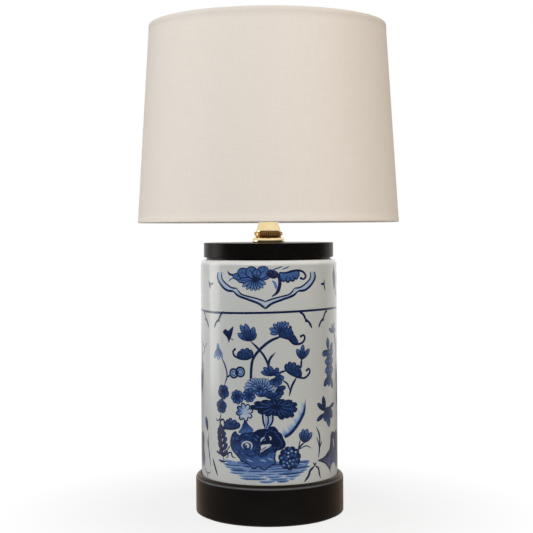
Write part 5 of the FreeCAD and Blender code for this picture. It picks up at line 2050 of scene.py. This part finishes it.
@dataclass
class Studio:
    """Plain pale floor, soft studio light and the camera at the photograph's angle."""

    image_width: float = 533.0
    focal_px: float = 1228.0
    sensor: float = 36.0
    distance: float = 1.322
    height: float = 0.304
    axis_px: float = 268.4
    horizon_px: float = 227.8
    roll: float = math.radians(0.3)
    floor_size: float = 1.6
    floor_front: float = 0.3
    floor_colour: Colour = (0.56, 0.56, 0.55)
    backdrop_start: tuple[float, float] = (-0.3, -0.1)
    backdrop_side: tuple[float, float] = (0.10, 0.02)
    shadow_share: float = 0.18
    shadow_reach: tuple[float, float] = (0.13, 0.29)
    room_light: float = 0.08
    backdrop: tuple[float, float] = (0.88, 1.0)
    mirrored_backdrop: tuple[float, float] = (0.05, 0.5)
    tent_lean: float = 0.2
    aim_height: float = 0.27

    def build(self) -> None:
        """Makes the camera, the floor, the sky and the lamps."""
        bpy.context.scene.view_settings.view_transform = "Standard"
        self.camera()
        self.floor()
        self.world()
        self.lamp("front_bank", (-0.52, -1.65, 1.10), (2.4, 0.8), 33.0, (1.0, 0.985, 0.97))
        self.lamp("left_strip", (-1.22, 0.25, 0.42), (0.60, 0.9), 4.6, (1.0, 0.99, 0.98))
        warm = self.lamp("right_warm", (1.5, -0.45, 0.62), (0.8, 0.9), 10.5, (1.0, 0.90, 0.78))
        warm.visible_glossy = False

    def camera(self) -> None:
        """The camera, level but for a slight roll, with the frame shifted onto the lamp."""
        data = bpy.data.cameras.new("camera")
        data.sensor_width = self.sensor
        data.lens = self.focal_px / self.image_width * self.sensor
        centre = self.image_width / 2
        data.shift_x = (centre - self.axis_px) / self.image_width
        data.shift_y = (self.horizon_px - centre) / self.image_width
        made = bpy.data.objects.new("camera", data)
        made.location = (0, -self.distance, self.height)
        made.rotation_euler = (math.pi / 2, self.roll, 0)
        bpy.context.collection.objects.link(made)
        bpy.context.scene.camera = made

    def floor(self) -> None:
        """A pale floor that reads white to the camera and still takes the lamp's shadow."""
        made = begin("floor", bpy.ops.mesh.primitive_plane_add, size=self.floor_size)
        shift(0, self.floor_size / 2 - self.floor_front, 0)
        end(made)
        paint = bpy.data.materials.new("pale_floor")
        graph = Graph(paint)
        graph.fill(base_color=self.floor_colour, roughness=0.9)
        glow = graph.node("ShaderNodeEmission", None, {"Color": (1, 1, 1), "Strength": 1.0})
        spot = graph.place()
        across, depth = graph.axes(spot, "XY")
        clear = graph.between(graph.length(spot), *self.shadow_reach, 1 - self.shadow_share)
        behind = graph.between(depth, *self.backdrop_start)
        behind = behind * graph.between(abs(across), *self.backdrop_side)
        camera, glossy, through = graph.rays("Camera", "Glossy", "Transmission")
        factor = clear * (camera + (glossy + through) * behind)
        surface = Signal(graph, graph.surface.outputs[0])
        mixed = graph.node("ShaderNodeMixShader", None, {0: factor, 1: surface, 2: glow})
        graph.feed(graph.tree.nodes["Material Output"].inputs["Surface"], mixed)
        made.data.materials.append(paint)

    def world(self) -> None:
        """A dim room, a white backdrop, white to the camera, and a wide white tent in mirrors."""
        world = bpy.data.worlds.new("studio")
        bpy.context.scene.world = world
        graph = Graph(world, "Background")
        across, back, up = graph.axes(graph.node("ShaderNodeTexCoord", output="Generated"), "XYZ")
        camera, glossy, through = graph.rays("Camera", "Glossy", "Transmission")
        mirrored = glossy.math("MAXIMUM", through)
        behind = back - across * mirrored * self.tent_lean
        room = graph.between(
            behind.math("MAXIMUM", up * mirrored),
            *(graph.span(mirrored, *ends) for ends in zip(self.backdrop, self.mirrored_backdrop)),
            self.room_light,
            interpolation_type="SMOOTHSTEP",
        )
        graph.fill(color=(1, 1, 1), strength=room.math("MAXIMUM", camera))

    def lamp(
        self, name: str, place: Colour, size: tuple[float, float], power: float, tint: Colour
    ) -> Object:
        """Hangs a soft rectangular lamp that faces the middle of the object.

        Args:
            name: The lamp's name.
            place: Where it hangs.
            size: Its width and height.
            power: Its power in watts.
            tint: Its colour.

        Returns:
            The lamp.
        """
        data = bpy.data.lights.new(name, "AREA")
        data.shape = "RECTANGLE"
        data.size, data.size_y = size
        data.energy = power
        data.color = tint
        made = bpy.data.objects.new(name, data)
        made.location = place
        aim = Vector((0, 0, self.aim_height)) - Vector(place)
        made.rotation_euler = aim.to_track_quat("-Z", "Y").to_euler()
        bpy.context.collection.objects.link(made)
        return made


def main() -> None:
    """Builds the lamp's sub-assemblies in order, then the studio."""
    logging.basicConfig(level=logging.INFO, format="%(message)s")
    Stand().build()
    Cap().build()
    Vase().build()
    Fittings().build()
    Shade().build()
    dress(BRASS, "finial_collar", "finial_ball", "socket_cap",
          "socket_shell", "socket_screw_shell", "socket_contact", "switch_stem", "rod_nut_top")
    dress(HARP_BRASS, "harp_loop", "harp_saddle", "harp_sleeve_left", "harp_sleeve_right")
    dress(STEEL, "socket_cap_screw", "terminal_screws", "bulb_contact")
    dress(ALUMINIUM, "bulb_screw_shell")
    dress(BAKELITE, "socket_body", "switch_knob", "bulb_insulator")
    dress(FIBRE, "socket_cap_liner", "socket_shell_liner")
    dress(BULB_WHITE, "bulb_housing")
    dress(BULB_FROST, "bulb_diffuser")
    Studio().build()


if __name__ == "__main__":
    main()
